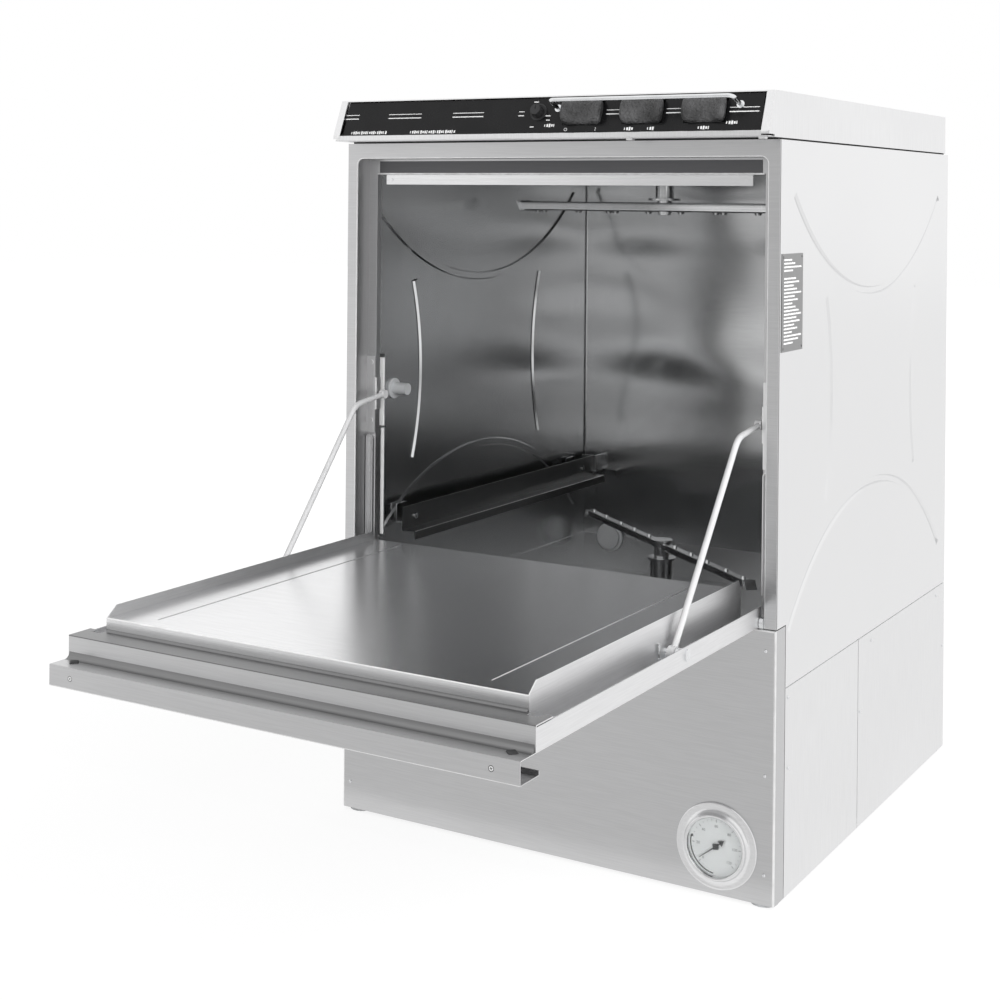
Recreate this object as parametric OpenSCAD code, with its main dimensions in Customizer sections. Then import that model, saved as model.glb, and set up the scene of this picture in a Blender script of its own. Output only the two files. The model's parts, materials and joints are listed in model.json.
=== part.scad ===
// Undercounter glass washer with a drop-down door, drawn with the door open.
// Origin on the floor at the centre of the space that it takes with the door open.
// X runs to the right, Y to the back and Z up.

/* [Body] */
// Width over the side walls
body_w = 600; // [570:1:640]
// Depth from the front frame to the back wall
body_d = 668; // [640:1:700]
// Height of the tub and frame below the top cover
body_h = 872; // [860:1:900]
// Thickness of the body sheets
sheet_t = 1.5; // [1.2:0.1:2]
// Gap between the floor and the lower edge of the panels
floor_gap = 4; // [3:1:8]
// Height of the upper edge of the lower front panel
sill_z = 316; // [306:1:318]
// Height of the seam between the tub walls and the lower side panels
seam_z = 245; // [235:1:255]
// Width of the seams between the panels
seam_gap = 1.2; // [0.8:0.1:2]
// Depth of the front panel's folded sides
front_return = 29; // [24:1:34]
// Distance from the front to the seam between the lower side panels
side_split_y = 284; // [240:1:340]

/* [Tub] */
// Height of the tub floor
tub_floor_z = 200; // [195:1:210]
// Depth of the sump well below the tub floor
sump_depth = 55; // [45:1:58]
// Radius of the sump well
sump_r = 75; // [65:1:80]
// Distance of the sump well to the left of the wash arm axis
sump_offset = 102; // [98:1:106]
// Radius of the pressed stiffening arcs in the side walls
bead_r = 400; // [380:1:420]
// Depth of the stiffening beads
bead_h = 3; // [2:0.5:3.5]
// Width of the stiffening beads
bead_w = 12; // [10:0.5:14]
// Distance from the top of the tub down to the upper stiffening arc
bead_top_drop = 184; // [170:1:200]
// Highest point of the lower stiffening arc
bead_low_z = 440; // [425:1:450]
// Distance of the upright arcs from the middle of the side wall
bead_side = 158; // [150:1:170]

/* [Front frame] */
// Width of the frame's face at each side
stile_w = 15; // [13:1:17]
// Height of the frame's face above the door
rail_h = 20; // [14:1:24]
// Depth of the recess that the door closes into
recess_d = 27; // [26:1:32]
// Width of the recess face beside the opening
recess_w = 13; // [11:1:14]
// Distance from the top of the frame down to the splash strip's lower edge
splash_drop = 53; // [50:1:58]
// Height of the splash strip's visible lip
splash_h = 13; // [10:1:15]

/* [Door] */
// Gap between the outer skin and the frame's face at each side
door_gap = 5; // [4:0.5:8]
// Distance from the hinge axis to the skin's outer end
door_l = 516; // [500:1:518]
// Height of the hinge axis
hinge_z = 323; // [322:1:326]
// Distance of the hinge axis behind the front face
hinge_y = 2; // [1.5:0.5:4]
// Radius of the hinge pins
hinge_r = 4; // [3:0.5:4.5]
// Running clearance around pins and shafts
fit = 0.05; // [0.02:0.01:0.1]
// Thickness of the door sheets
door_t = 1.2; // [1:0.1:1.5]
// Depth of the skin's outer face below the hinge axis
skin_drop = 5; // [5:0.5:6]
// Height of the skin's rims
skin_rim = 23; // [20:1:24]
// Distance from the skin's side to the inner liner's side flange
liner_inset = 24; // [23:0.5:28]
// Distance from the skin's outer end to the liner's end wall
liner_set = 30; // [29:1:36]
// Height of the liner's plate above the hinge axis
liner_z = 35; // [32:1:38]
// Height of the liner's side flanges above its plate
flange_h = 11; // [8:1:13]
// Reach of the handle beyond the skin's end
handle_reach = 27; // [22:1:27]
// Height of the handle's front face
handle_h = 21; // [18:1:22]
// Depth of the handle's folded finger edge
handle_fold = 34; // [28:1:38]

/* [Door rods] */
// Radius of each support rod
rod_r = 3.5; // [3:0.5:3.5]
// Distance from the skin's side to each rod
rod_inset = 16; // [15:0.5:16.5]
// Distance from the hinge axis to the rod pivot along the door
rod_pivot_l = 200; // [190:1:205]
// Height of the rod pivot above the hinge axis
rod_pivot_z = 9; // [8:0.5:11]
// Height of the rod's upper end with the door open
rod_top_z = 543; // [530:1:550]
// Distance of the rod's upper end behind the front face
rod_top_y = 33; // [31:1:36]
// Radius of the bend near the rod's upper end
rod_bend = 30; // [20:1:40]

/* [Top and console] */
// Gap between the tub and the top cover
cover_gap = 2; // [1.5:0.5:3]
// Height of the top cover
cover_h = 53; // [50:1:60]
// Rearward overhang of the top cover
cover_back = 7; // [4:1:10]
// Radius of the cover's rear corners
cover_round = 25; // [18:1:30]
// Radius along the cover's rear top edge
cover_edge = 14; // [8:1:18]
// Forward reach of the console's lower lip
console_reach = 34; // [30:1:40]
// Height of the console's lower lip
lip_h = 7; // [6:1:10]
// Backward lean of the control fascia
fascia_tilt = 20; // [16:1:24]
// Length of the fascia up its slope
fascia_l = 46; // [42:1:47]
// Width of the console's end cheeks
cheek_w = 10; // [8:1:12]
// Width of each rocker paddle
rocker_w = 50; // [44:1:54]
// Height of each rocker paddle
rocker_h = 32; // [28:1:33]
// Height of the paddles' centres up the fascia
rocker_v = 26.5; // [25:0.5:27]
// Distance from the right end of the fascia to the timer knob
knob_inset = 292; // [288:1:310]
// Distance from the right end of the fascia to the last rocker
rocker_inset = 72; // [70:1:76]
// Distance between the rockers' centres
rocker_pitch = 79; // [76:1:80]
// Radius of the timer knob
knob_r = 7.5; // [6:0.5:9]
// Radius of the guard bar's rod
guard_r = 2.5; // [2:0.5:3]
// Stand-off of the guard bar from the fascia
guard_reach = 27; // [24:1:32]

/* [Wash arms] */
// Length of each wash arm from its axis to its tip
arm_l = 258; // [230:1:262]
// Width of the upper wash arm's tube
upper_arm_w = 24; // [20:1:30]
// Height of the upper wash arm's tube
upper_arm_h = 13; // [11:1:15]
// Width of the lower wash arm's tube
lower_arm_w = 14; // [12:1:18]
// Height of the lower wash arm's tube
lower_arm_h = 9; // [8:0.5:12]
// Height of the lower wash arm's centre
lower_arm_z = 322; // [318:1:328]
// Distance from the top of the tub down to the upper wash arm's centre
upper_arm_drop = 80; // [76:1:84]
// Radius of the water pipes
pipe_r = 13; // [11:1:14]
// Wall of the water pipes
pipe_t = 1.5; // [1:0.1:2]
// Distance from the right side to the riser pipe
riser_inset = 150; // [145:1:153]

/* [Racking] */
// Height of the rack rails' upper edge
rail_z = 384; // [375:1:395]
// Height of the rack rails' web
rail_web = 30; // [26:1:34]
// Width of the rack rails' ledge
rail_ledge = 22; // [18:1:26]
// Distance between the wall and the rail's web
rail_off = 26; // [22:1:28]

/* [Base] */
// Height of the base frame's underside
base_z = 14; // [12:1:18]
// Height of the base frame's angles
base_h = 25; // [22:1:30]
// Thickness of the base frame's angles
base_t = 3; // [2.5:0.5:4]
// Radius of the levelling feet's pads
foot_r = 20; // [16:1:22]
// Radius of the pump motor
motor_r = 50; // [45:1:52]
// Length of the pump motor
motor_l = 115; // [100:1:118]
// Height of the pump axis
pump_z = 100; // [98:1:104]
// Radius of the pump's impeller
impeller_r = 34; // [30:1:36]
// Radius of the pump's shaft
shaft_r = 6; // [5:0.5:7]

/* [Gauge] */
// Distance from the right side to the temperature gauge
gauge_inset = 70; // [65:1:85]
// Height of the temperature gauge
gauge_z = 60; // [58:1:70]
// Outer radius of the gauge's bezel
gauge_r = 50; // [44:1:52]
// Radius of the gauge's dial
dial_r = 34; // [30:1:36]

/* [Services] */
// Radius of the water inlet's threaded end
inlet_r = 13.2; // [10:0.1:14]
// Radius of the drain outlet
drain_r = 19; // [16:0.5:20]
// Height of the service connections
service_z = 70; // [68:1:80]
// Reach of the service connections behind the back panel
service_reach = 26; // [20:1:30]
// Radius of the hole through the cable gland
gland_bore = 5.5; // [4:0.5:7]

/* [Hidden] */
$fn = 48;

big = 2000;
seat = 0.3;
half_w = body_w / 2;
arm_y = body_d / 2;
inner_x = half_w - sheet_t;
inner_back = body_d - sheet_t;
stile_x = half_w - stile_w;
opening_x = stile_x - recess_w;
door_w = 2 * (stile_x - door_gap);
liner_w = door_w - 2 * liner_inset;
liner_l = door_l - liner_set;
rod_x = door_w / 2 - rod_inset;
bead_top_z = body_h - bead_top_drop;
bead_end = 180 * sheet_t / (PI * bead_r);
splash_z = body_h - splash_drop;
upper_arm_z = body_h - upper_arm_drop;
riser_x = half_w - riser_inset;
gauge_x = half_w - gauge_inset;
front_most = hinge_y - door_l - handle_reach;
rear_most = body_d + service_reach;
cover_z = body_h + cover_gap;
cover_top = cover_z + cover_h;
fascia_z = cover_z + lip_h;
fascia_y = 4 - console_reach;
fascia_w = body_w - 2 * cheek_w;
knob_x = fascia_w / 2 - knob_inset;
rocker_x = [for (i = [2:-1:0]) fascia_w / 2 - rocker_inset - i * rocker_pitch];
bush_r = 4.6;
rocker_pin_r = 1.5;
bolt_r = 3;
hub_r = 10.5;
lower_hub = [16, 5];
upper_hub = [9, 8];
disc_t = 3;
spindle_r = 6;
spindle_gap = 2.5;
neck_r = 15;
head_r = 16;
manifold_z = tub_floor_z + 22;
feed_z = body_h - sheet_t - pipe_r - 2;
feed_joint = 40;
well_x = -sump_offset;
volute_r = 45;
volute_l = 36;
volute_t = 4;
volute_x = riser_x - volute_l / 2;
core_r = 30;
drain_x = 70 - half_w;
drain_y = 200;
fill_x = half_w - 85;
fill_y = body_d - 70;
port_y = 106;
port_z = rod_top_z - 1;
cap_r = 23;
cap_x = 51 - half_w;
cap_z = seam_z + 5;
rail_start = 92;
rail_end = 22;
guide_y = 60;
guide_w = 17.5;
guide_l = 145;
lower_arm_turn = 141;
upper_arm_turn = 171;
guard_out = [35, 42];
dosing_w = 150;

// ---- shared shapes ----

// Everything is drawn from the middle of the front face, and placed by this.
module from_front() {
  translate([0, -(front_most + rear_most) / 2, 0]) children();
}

module block(lo, hi) {
  translate(lo) cube(hi - lo);
}

module both_sides() {
  children();
  mirror([1, 0, 0]) children();
}

// Rounded rectangle, centred.
module rounded(w, h, r) {
  square([w - 2 * r, h], center = true);
  square([w, h - 2 * r], center = true);
  for (x = [-1, 1], y = [-1, 1])
    translate([x * (w / 2 - r), y * (h / 2 - r)]) circle(r);
}

// Cylinder along +X.
module rod_along_x(x0, x1, y, z, r) {
  translate([x0, y, z]) rotate([0, 90, 0]) cylinder(r = r, h = x1 - x0);
}

// Cylinder along +Y.
module rod_along_y(y0, y1, x, z, r) {
  translate([x, y0, z]) rotate([-90, 0, 0]) cylinder(r = r, h = y1 - y0);
}

// Tube along +Z.
module tube_up(r, t, h) {
  difference() {
    cylinder(r = r, h = h);
    translate([0, 0, -1]) cylinder(r = r - t, h = h + 2);
  }
}

function unit(a, b) = (b - a) / norm(b - a);
function turn(a, b, c) =
  let (u = unit(a, b), v = unit(b, c)) atan2(u.x * v.y - u.y * v.x, u * v);
function cutback(p, i, bend) =
  i <= 0 || i >= len(p) - 1 ? 0 : bend * tan(abs(turn(p[i - 1], p[i], p[i + 1])) / 2);

// Round bar along a flat path, with each corner bent to one radius. The bends stand
// a tenth of a millimetre proud, so that they join the straights cleanly.
module bent_bar(p, r, bend) {
  for (i = [0:len(p) - 2]) {
    u = unit(p[i], p[i + 1]);
    a = p[i] + u * cutback(p, i, bend);
    b = p[i + 1] - u * cutback(p, i + 1, bend);
    translate([a.x, a.y, 0]) rotate([0, 90, atan2(u.y, u.x)]) cylinder(r = r, h = norm(b - a));
  }
  for (i = [1:1:len(p) - 2]) {
    u = unit(p[i - 1], p[i]);
    angle = turn(p[i - 1], p[i], p[i + 1]);
    side = sign(angle);
    start = p[i] - u * cutback(p, i, bend);
    centre = start + side * bend * [-u.y, u.x];
    from = atan2(start.y - centre.y, start.x - centre.x);
    translate([centre.x, centre.y, 0]) rotate([0, 0, (side > 0 ? from : from + angle) - 0.4])
      rotate_extrude(angle = abs(angle) + 0.8) translate([bend, 0]) circle(r + 0.1);
  }
}

// Stands children on the plane x = const: local x is machine Y and local y is height.
module in_side_plane(x) {
  translate([x, 0, 0]) rotate([90, 0, 90]) children();
}

// Puts children on the fascia: local y runs up the slope, local z points outwards.
module on_fascia(x, v) {
  translate([x, fascia_y, fascia_z]) rotate([90 - fascia_tilt, 0, 0])
    translate([0, v, 0]) children();
}

// Pan-head screw with its axis along local z.
module screw(r, head, l) {
  cylinder(r = r, h = l);
  translate([0, 0, l]) cylinder(r1 = r * 1.9, r2 = r * 1.5, h = head);
}

// ---- tub ----

// One pressed arc: a ridge with sloping flanks, w wide at its foot and h high.
module bead_arc(y, z, half_angle, middle, w, h) {
  translate([y, z, 0]) rotate([0, 0, middle - half_angle])
    rotate_extrude(angle = 2 * half_angle, $fn = 180) translate([bead_r, 0])
      polygon([[-w / 2, 0.5], [w / 2, 0.5], [w / 2 - 2, -h], [2 - w / 2, -h]]);
}

// The four arcs of a side wall, standing inwards from the plane x. Each end is cut short by
// an angle, so that the hollow behind an arc stays closed by one thickness of sheet.
module beads(x, w, h, cut) {
  in_side_plane(x) {
    bead_arc(arm_y, bead_top_z + bead_r, 46 - cut, -90, w, h);
    bead_arc(arm_y, bead_low_z - bead_r, 48 - cut, 90, w, h);
    bead_arc(arm_y - bead_side - bead_r, (bead_top_z + bead_low_z) / 2, 18 - cut, 0, w, h);
    bead_arc(arm_y + bead_side + bead_r, (bead_top_z + bead_low_z) / 2, 18 - cut, 180, w, h);
  }
}

module tub_side_wall() {
  difference() {
    union() {
      block([inner_x, seam_gap + sheet_t, seam_z], [half_w, body_d, body_h]);
      beads(inner_x, bead_w, bead_h, 0);
    }
    beads(half_w, bead_w - sheet_t, bead_h, bead_end);
    block([inner_x - 1, 0, seam_z - 1], [half_w + 1, front_return + seam_gap, sill_z + seam_gap]);
  }
}

module tub_left_wall() {
  color("gainsboro") from_front() mirror([1, 0, 0]) tub_side_wall();
}

module tub_right_wall() {
  color("gainsboro") from_front() tub_side_wall();
}

module tub_back_wall() {
  color("silver") from_front()
    block([-inner_x, inner_back, seam_z], [inner_x, body_d, body_h]);
}

module tub_ceiling() {
  color("silver") from_front() difference() {
    block([-inner_x, recess_d + 2 * sheet_t, body_h - sheet_t], [inner_x, inner_back, body_h]);
    translate([0, arm_y, body_h - sheet_t - 1]) cylinder(r = bolt_r, h = sheet_t + 2);
  }
}

// Pan below the walls, with an apron in front, a sump well and its pipe holes.
module tub_floor() {
  x = inner_x;
  back = inner_back;
  front = recess_d + 2;
  rim = seam_z + 8;
  color("silver") from_front() difference() {
    union() {
      difference() {
        block([-x, front, tub_floor_z - sheet_t], [x, back, rim]);
        block([-x + sheet_t, front + sheet_t, tub_floor_z], [x - sheet_t, back - sheet_t, big]);
      }
      block([-x, front, tub_floor_z], [x, front + sheet_t, sill_z - sheet_t - seat]);
      translate([well_x, arm_y, tub_floor_z - sump_depth])
        cylinder(r = sump_r + sheet_t, h = sump_depth - sheet_t / 2);
    }
    translate([well_x, arm_y, tub_floor_z - sump_depth + sheet_t]) cylinder(r = sump_r, h = big);
    translate([well_x, arm_y, 0]) cylinder(r = pipe_r - pipe_t, h = big);
    translate([riser_x, arm_y, 0]) cylinder(r = pipe_r + seat, h = big);
    translate([drain_x, drain_y, 0]) cylinder(r = drain_r + seat, h = big);
    translate([fill_x, fill_y, 0]) cylinder(r = inlet_r / 2 + seat, h = big);
  }
}

// ---- front frame ----

module front_frame() {
  rail_low = body_h - rail_h;
  t = sheet_t;
  color("silver") from_front() {
    difference() {
      block([-half_w, 0, sill_z + seam_gap], [half_w, t, body_h]);
      translate([0, -1, rail_low - stile_x]) rotate([-90, 0, 0]) mirror([0, 1, 0])
        linear_extrude(t + 2) {
          rounded(2 * stile_x, 2 * stile_x, 8);
          translate([0, -stile_x]) square([2 * stile_x, 2 * stile_x], center = true);
        }
    }
    both_sides() {
      block([stile_x, t, sill_z + seam_gap], [stile_x + t, recess_d, rail_low + t]);
      block([opening_x, recess_d, sill_z + seam_gap], [inner_x, recess_d + t, body_h - t]);
      block([opening_x, recess_d + t, sill_z + seam_gap], [opening_x + t, recess_d + 9, body_h - t]);
    }
    block([-stile_x, t, rail_low], [stile_x, recess_d, rail_low + t]);
    block([-opening_x, recess_d, splash_z + splash_h + 1], [opening_x, recess_d + t, body_h - t]);
    block([-inner_x, t, body_h - t], [inner_x, recess_d + t, body_h]);
  }
}

// Strip above the opening that keeps spray behind the door's end.
module splash_strip() {
  w = liner_w / 2 + 1;
  rail_low = body_h - rail_h;
  y = recess_d + sheet_t;
  color("whitesmoke") from_front() {
    block([-w, y, splash_z], [w, y + sheet_t, rail_low - 2]);
    block([-w, y - 3, splash_z], [w, y, splash_z + splash_h]);
    both_sides() rod_along_y(y - 4, y - 3, w - 8, splash_z + splash_h / 2, bolt_r - 0.5);
  }
}

// Plates beside the opening that the rods come to rest against, the channels below
// them, and the guide angles on the tub walls behind.
module jamb_brackets() {
  y = recess_d;
  w = recess_w;
  color("lightgray") from_front() both_sides() {
    difference() {
      union() {
        block([opening_x, y - 2, rod_top_z - 50], [stile_x, y, rod_top_z + 50]);
        block([opening_x - 2, y - 2, rod_top_z - 20], [opening_x, y + 8, rod_top_z + 22]);
      }
      for (z = [rod_top_z - 34, rod_top_z + 42])
        rod_along_y(y - 3, y + 1, opening_x + w / 2, z, bolt_r - 0.5);
    }
    for (z = [rod_top_z - 34, rod_top_z + 42]) {
      rod_along_y(y - 3, y, opening_x + w / 2, z, bolt_r - 0.8);
      rod_along_y(y - 3.2, y - 2, opening_x + w / 2, z, bolt_r + 0.4);
    }
    difference() {
      translate([opening_x + w / 2, y, rod_top_z - 58]) rotate([90, 0, 0]) cylinder(r = w / 2 - 1, h = 5);
      translate([opening_x + w / 2, y + 1, rod_top_z - 58]) rotate([90, 0, 0])
        cylinder(r = w / 2 - 2.2, h = 8);
      block([opening_x - 1, y - 9, rod_top_z - 80], [stile_x, y + 1, rod_top_z - 58]);
    }
    for (x = [opening_x + 1, stile_x - 2.2])
      block([x, y - 5, hinge_z + 26], [x + 1.2, y, rod_top_z - 58]);
    for (z = [[rod_top_z - 48 - guide_l, rod_top_z - 48], [rod_top_z - 46, rod_top_z + 50]]) {
      block([inner_x - guide_w, guide_y, z[0]], [inner_x, guide_y + 2, z[1]]);
      block([inner_x - sheet_t, guide_y, z[0]], [inner_x, guide_y + 10, z[1]]);
    }
  }
}

module hinge_pins() {
  color("silver") from_front() both_sides() {
    rod_along_x(door_w / 2 - 2.5, stile_x, hinge_y, hinge_z, hinge_r);
    rod_along_x(door_w / 2 + 2 * seat, stile_x, hinge_y, hinge_z, hinge_z - sill_z - seat);
  }
}

// ---- base and panels ----

module base_frame() {
  x = inner_x - seat;
  y0 = sheet_t + seat;
  y1 = inner_back - seat;
  z1 = base_z + base_h;
  post = 25;
  color("dimgray") from_front() {
    difference() {
      block([-x, y0, base_z], [x, y1, z1]);
      block([-x + base_t, y0 + base_t, base_z + base_t], [x - base_t, y1 - base_t, z1 + 1]);
      block([-x + 32, y0 + 32, 0], [x - 32, y1 - 32, z1 + 1]);
      for (sx = [-1, 1], y = [y0 + 17, y1 - 17])
        translate([sx * (x - 17), y, 0]) cylinder(r = 5 + fit, h = 60);
      rod_along_y(0, base_h, gauge_x, gauge_z, dial_r + 3);
    }
    for (y = [arm_y - 40, arm_y + 40])
      block([-x + base_t, y - 12, z1 - base_t], [x - base_t, y + 12, z1]);
    for (sx = [0, 1]) mirror([sx, 0, 0]) for (sy = [0, 1])
      translate([0, sy * (y0 + y1), 0]) mirror([0, sy, 0]) {
        block([x - post, y0, z1 - 1], [x, y0 + base_t, tub_floor_z - sheet_t - seat]);
        block([x - base_t, y0, z1 - 1], [x, y0 + post, tub_floor_z - sheet_t - seat]);
      }
  }
}

module levelling_feet() {
  x = inner_x - seat - 17;
  color("darkgray") from_front() for (sx = [-1, 1], y = [sheet_t + seat + 17, inner_back - seat - 17])
    translate([sx * x, y, 0]) {
      cylinder(r = foot_r * 0.8, h = 6);
      cylinder(r1 = foot_r * 0.8, r2 = foot_r * 0.5, h = 9);
      cylinder(r = 5, h = base_z + base_t + 12);
      translate([0, 0, base_z - 3]) cylinder(r = 9, h = 3, $fn = 6);
    }
}

module front_panel() {
  top = sill_z;
  color("silver") from_front() difference() {
    union() {
      block([-half_w, 0, floor_gap], [half_w, sheet_t, top]);
      block([-half_w, 0, top - sheet_t], [half_w, front_return, top]);
      both_sides() block([inner_x, 0, floor_gap], [half_w, front_return, top]);
    }
    translate([gauge_x, -1, gauge_z]) rotate([-90, 0, 0]) cylinder(r = dial_r + 1 + seat, h = sheet_t + 2);
  }
}

// Lower side panel from y0 to y1, with its folded edge inside.
module side_panel(y0, y1) {
  block([inner_x, y0, floor_gap], [half_w, y1, seam_z - seam_gap]);
  block([inner_x - 8, y0, floor_gap + base_z + base_h], [inner_x, y0 + sheet_t, tub_floor_z - 6]);
}

module right_front_panel() {
  color("gainsboro") from_front() side_panel(front_return + seam_gap, side_split_y);
}

module right_rear_panel() {
  color("gainsboro") from_front() side_panel(side_split_y + seam_gap, body_d);
}

module left_front_panel() {
  color("gainsboro") from_front() mirror([1, 0, 0])
    side_panel(front_return + seam_gap, side_split_y);
}

module left_rear_panel() {
  color("gainsboro") from_front() mirror([1, 0, 0]) side_panel(side_split_y + seam_gap, body_d);
}

module back_panel() {
  color("silver") from_front() difference() {
    block([-inner_x + seat, inner_back, floor_gap], [inner_x - seat, body_d, seam_z - seam_gap]);
    for (c = [[drain_x, drain_r], [fill_x, inlet_r], [0, gland_bore + 5.5]])
      rod_along_y(inner_back - 1, body_d + 1, c.x, service_z, c.y + seat);
  }
}

module panel_screws() {
  color("darkgray") from_front() both_sides() {
    for (c = [[side_split_y + 52, seam_z - 13], [side_split_y + 8, seam_z / 2 + 28],
              [body_d - 8, seam_z / 2 + 30], [body_d - 40, seam_z - 13], [front_return + 10, seam_z - 13],
              [front_return + 12, seam_z / 2 + 28]])
      translate([half_w, c.x, c.y]) rotate([0, 90, 0]) screw(2.2, 1.6, 0.4);
    for (z = [base_z + 24, seam_z / 2 + 28, sill_z - 24])
      translate([half_w - 12, 0, z]) rotate([90, 0, 0]) screw(2.2, 1.6, 0.4);
    for (x = [80, half_w - 20], z = [base_z + 20, seam_z - 16])
      translate([x, body_d, z]) rotate([-90, 0, 0]) screw(2.2, 1.6, 0.4);
  }
}

// ---- top cover and console ----

module cover_gasket() {
  inset = 5;
  color("black") from_front() difference() {
    block([-half_w + inset, inset, body_h], [half_w - inset, body_d - inset, cover_z]);
    block([-half_w + inset + 12, inset + 12, body_h - 1],
      [half_w - inset - 12, body_d - inset - 12, cover_z + 1]);
  }
}

// Side outline of the cover: sloped front, rounded rear top edge.
module cover_side(inset) {
  back = body_d + cover_back - inset;
  top = cover_top - inset;
  slope = fascia_l * sin(fascia_tilt) + 3;
  front = -console_reach + inset;
  lip = fascia_z;
  r = cover_edge - inset;
  polygon(concat(
    [[front, cover_z - (inset > 0 ? 1 : 0)], [front, lip], [front + slope, top]],
    [for (a = [90:-15:0]) [back - r + r * cos(a), top - r + r * sin(a)]],
    [[back, cover_z - (inset > 0 ? 1 : 0)]]));
}

module cover_body(inset) {
  r = cover_round - inset;
  back = body_d + cover_back - inset;
  w = half_w - inset;
  intersection() {
    in_side_plane(-w) linear_extrude(2 * w) cover_side(inset);
    translate([0, 0, cover_z - 5]) linear_extrude(cover_h + 10) {
      translate([-w, -console_reach]) square([2 * w, console_reach + back - r]);
      translate([-w + r, 0]) square([2 * w - 2 * r, back]);
      for (x = [-1, 1]) translate([x * (w - r), back - r]) circle(r);
    }
  }
}

module top_cover() {
  color("gainsboro") from_front() difference() {
    cover_body(0);
    cover_body(sheet_t);
    block([-half_w - 1, -console_reach - 1, cover_z - 2], [half_w + 1, fascia_y + 12, cover_z + 3]);
    block([-half_w + cheek_w, -console_reach - 1, cover_z - 1],
      [half_w - cheek_w, fascia_y + fascia_l * sin(fascia_tilt) + 4, cover_top - sheet_t]);
  }
}

// Lower lip, its underside and the two end cheeks of the console.
module console_shell() {
  x = half_w - sheet_t - seat;
  w = half_w - cheek_w;
  color("gainsboro") from_front() {
    block([-w, -console_reach, cover_z + 1], [w, -console_reach + 6, fascia_z]);
    block([-x, -console_reach + 2, cover_z], [x, 30, cover_z + sheet_t]);
    both_sides() in_side_plane(w - 2) linear_extrude(2) polygon([[fascia_y + 2, cover_z + 1],
      [fascia_y + 1.5 + fascia_l * sin(fascia_tilt), cover_top - sheet_t - seat],
      [26, cover_top - sheet_t - seat], [26, cover_z + 1]]);
  }
}

module control_fascia() {
  color("#1c1c1e") from_front() difference() {
    on_fascia(0, 0) translate([(5 - fascia_w) / 2, sheet_t * tan(fascia_tilt) + fit, -sheet_t])
      cube([fascia_w - 5, fascia_l - 1, sheet_t]);
    for (x = rocker_x) on_fascia(x, rocker_v) cube([rocker_w + 3, rocker_h + 1, 8], center = true);
    on_fascia(knob_x, rocker_v + 1) cylinder(r = bush_r + fit, h = 8, center = true);
    for (x = [rocker_x[0] - guard_out[0], rocker_x[2] + guard_out[1]]) on_fascia(x, rocker_v + 5)
      cylinder(r = guard_r + fit, h = 8, center = true);
  }
}

module guard_bar() {
  x0 = rocker_x[0] - guard_out[0];
  x1 = rocker_x[2] + guard_out[1];
  color("gainsboro") from_front() {
    on_fascia(0, rocker_v + 5) rotate([90, 0, 0])
      bent_bar([[x0, -5], [x0, guard_reach], [x1, guard_reach], [x1, -5]], guard_r, 7);
    for (x = [x0, x1]) on_fascia(x, rocker_v + 5) difference() {
      cylinder(r = guard_r + 2.2, h = 2);
      translate([0, 0, -1]) cylinder(r = guard_r + fit, h = 4);
    }
  }
}

// Housings of the three rocker switches, each with a frame around its paddle.
module switch_bodies() {
  wide = rocker_h + 0.4;
  color("#202022") from_front() for (x = rocker_x) on_fascia(x, rocker_v) {
    difference() {
      union() {
        translate([0, 0, -15]) cube([rocker_w + 2.4, wide, 27], center = true);
        translate([0, 0, -2]) cube([8, wide, 8], center = true);
      }
      translate([0, 0, -4]) cube([rocker_w + 1, rocker_h - 1, 14], center = true);
    }
    rotate([90, 0, 0]) cylinder(r = rocker_pin_r, h = wide - 0.4, center = true);
  }
}

// Rocker paddle with a hollowed face, pivoting on an upright pin.
module rocker(x) {
  r = 70;
  color("#2a2a2c") from_front() on_fascia(x, rocker_v) rotate([90, 0, 0]) {
    translate([0, 0, -(rocker_h - 2) / 2]) linear_extrude(rocker_h - 2) difference() {
      polygon([[-rocker_w / 2 + 2, -1.5], [0, -5], [rocker_w / 2 - 2, -1.5],
        [rocker_w / 2, 8], [-rocker_w / 2, 8]]);
      translate([0, 4 + r]) circle(r, $fn = 96);
      circle(rocker_pin_r + fit);
    }
  }
}

module power_rocker() {
  rocker(rocker_x[0]);
}

module fill_rocker() {
  rocker(rocker_x[1]);
}

module start_rocker() {
  rocker(rocker_x[2]);
}

module timer_body() {
  color("#303034") from_front() on_fascia(knob_x, rocker_v + 1) difference() {
    union() {
      translate([0, 0, -28]) cylinder(r = 12, h = 26.2);
      translate([0, 0, -2]) cylinder(r = bush_r, h = 2.5);
      difference() {
        cylinder(r = knob_r + 3.5, h = 1.2);
        translate([0, 0, 0.4]) cylinder(r = knob_r + 1.5, h = 4);
      }
    }
    translate([0, 0, -14]) cylinder(r = 3 + fit, h = 20);
  }
}

module timer_knob() {
  color("#141416") from_front() on_fascia(knob_x, rocker_v + 1) {
    translate([0, 0, -12]) cylinder(r = 3, h = 13);
    difference() {
      translate([0, 0, 0.6]) cylinder(r1 = knob_r, r2 = knob_r - 0.8, h = 10);
      translate([0, knob_r / 2, 10.2]) cube([1.2, knob_r, 1.2], center = true);
    }
    for (a = [0:30:330]) rotate([0, 0, a]) translate([knob_r - 0.6, 0, 0.8])
      cylinder(r = 0.9, h = 8.5, $fn = 16);
  }
}

// Blank plate on the right wall, held at its corners.
module data_plate() {
  w = 66;
  h = 112;
  y = 7;
  z = 630;
  color("lightgray") from_front() difference() {
    block([half_w, y, z], [half_w + 0.8, y + w, z + h]);
    for (dy = [4, w - 4], dz = [4, h - 4]) rod_along_x(half_w - 1, half_w + 2, y + dy, z + dz, 1.6);
  }
}

// ---- door ----

// The door is drawn around its hinge axis, lying open towards -Y.
module at_hinge() {
  from_front() translate([0, hinge_y, hinge_z]) children();
}

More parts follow.
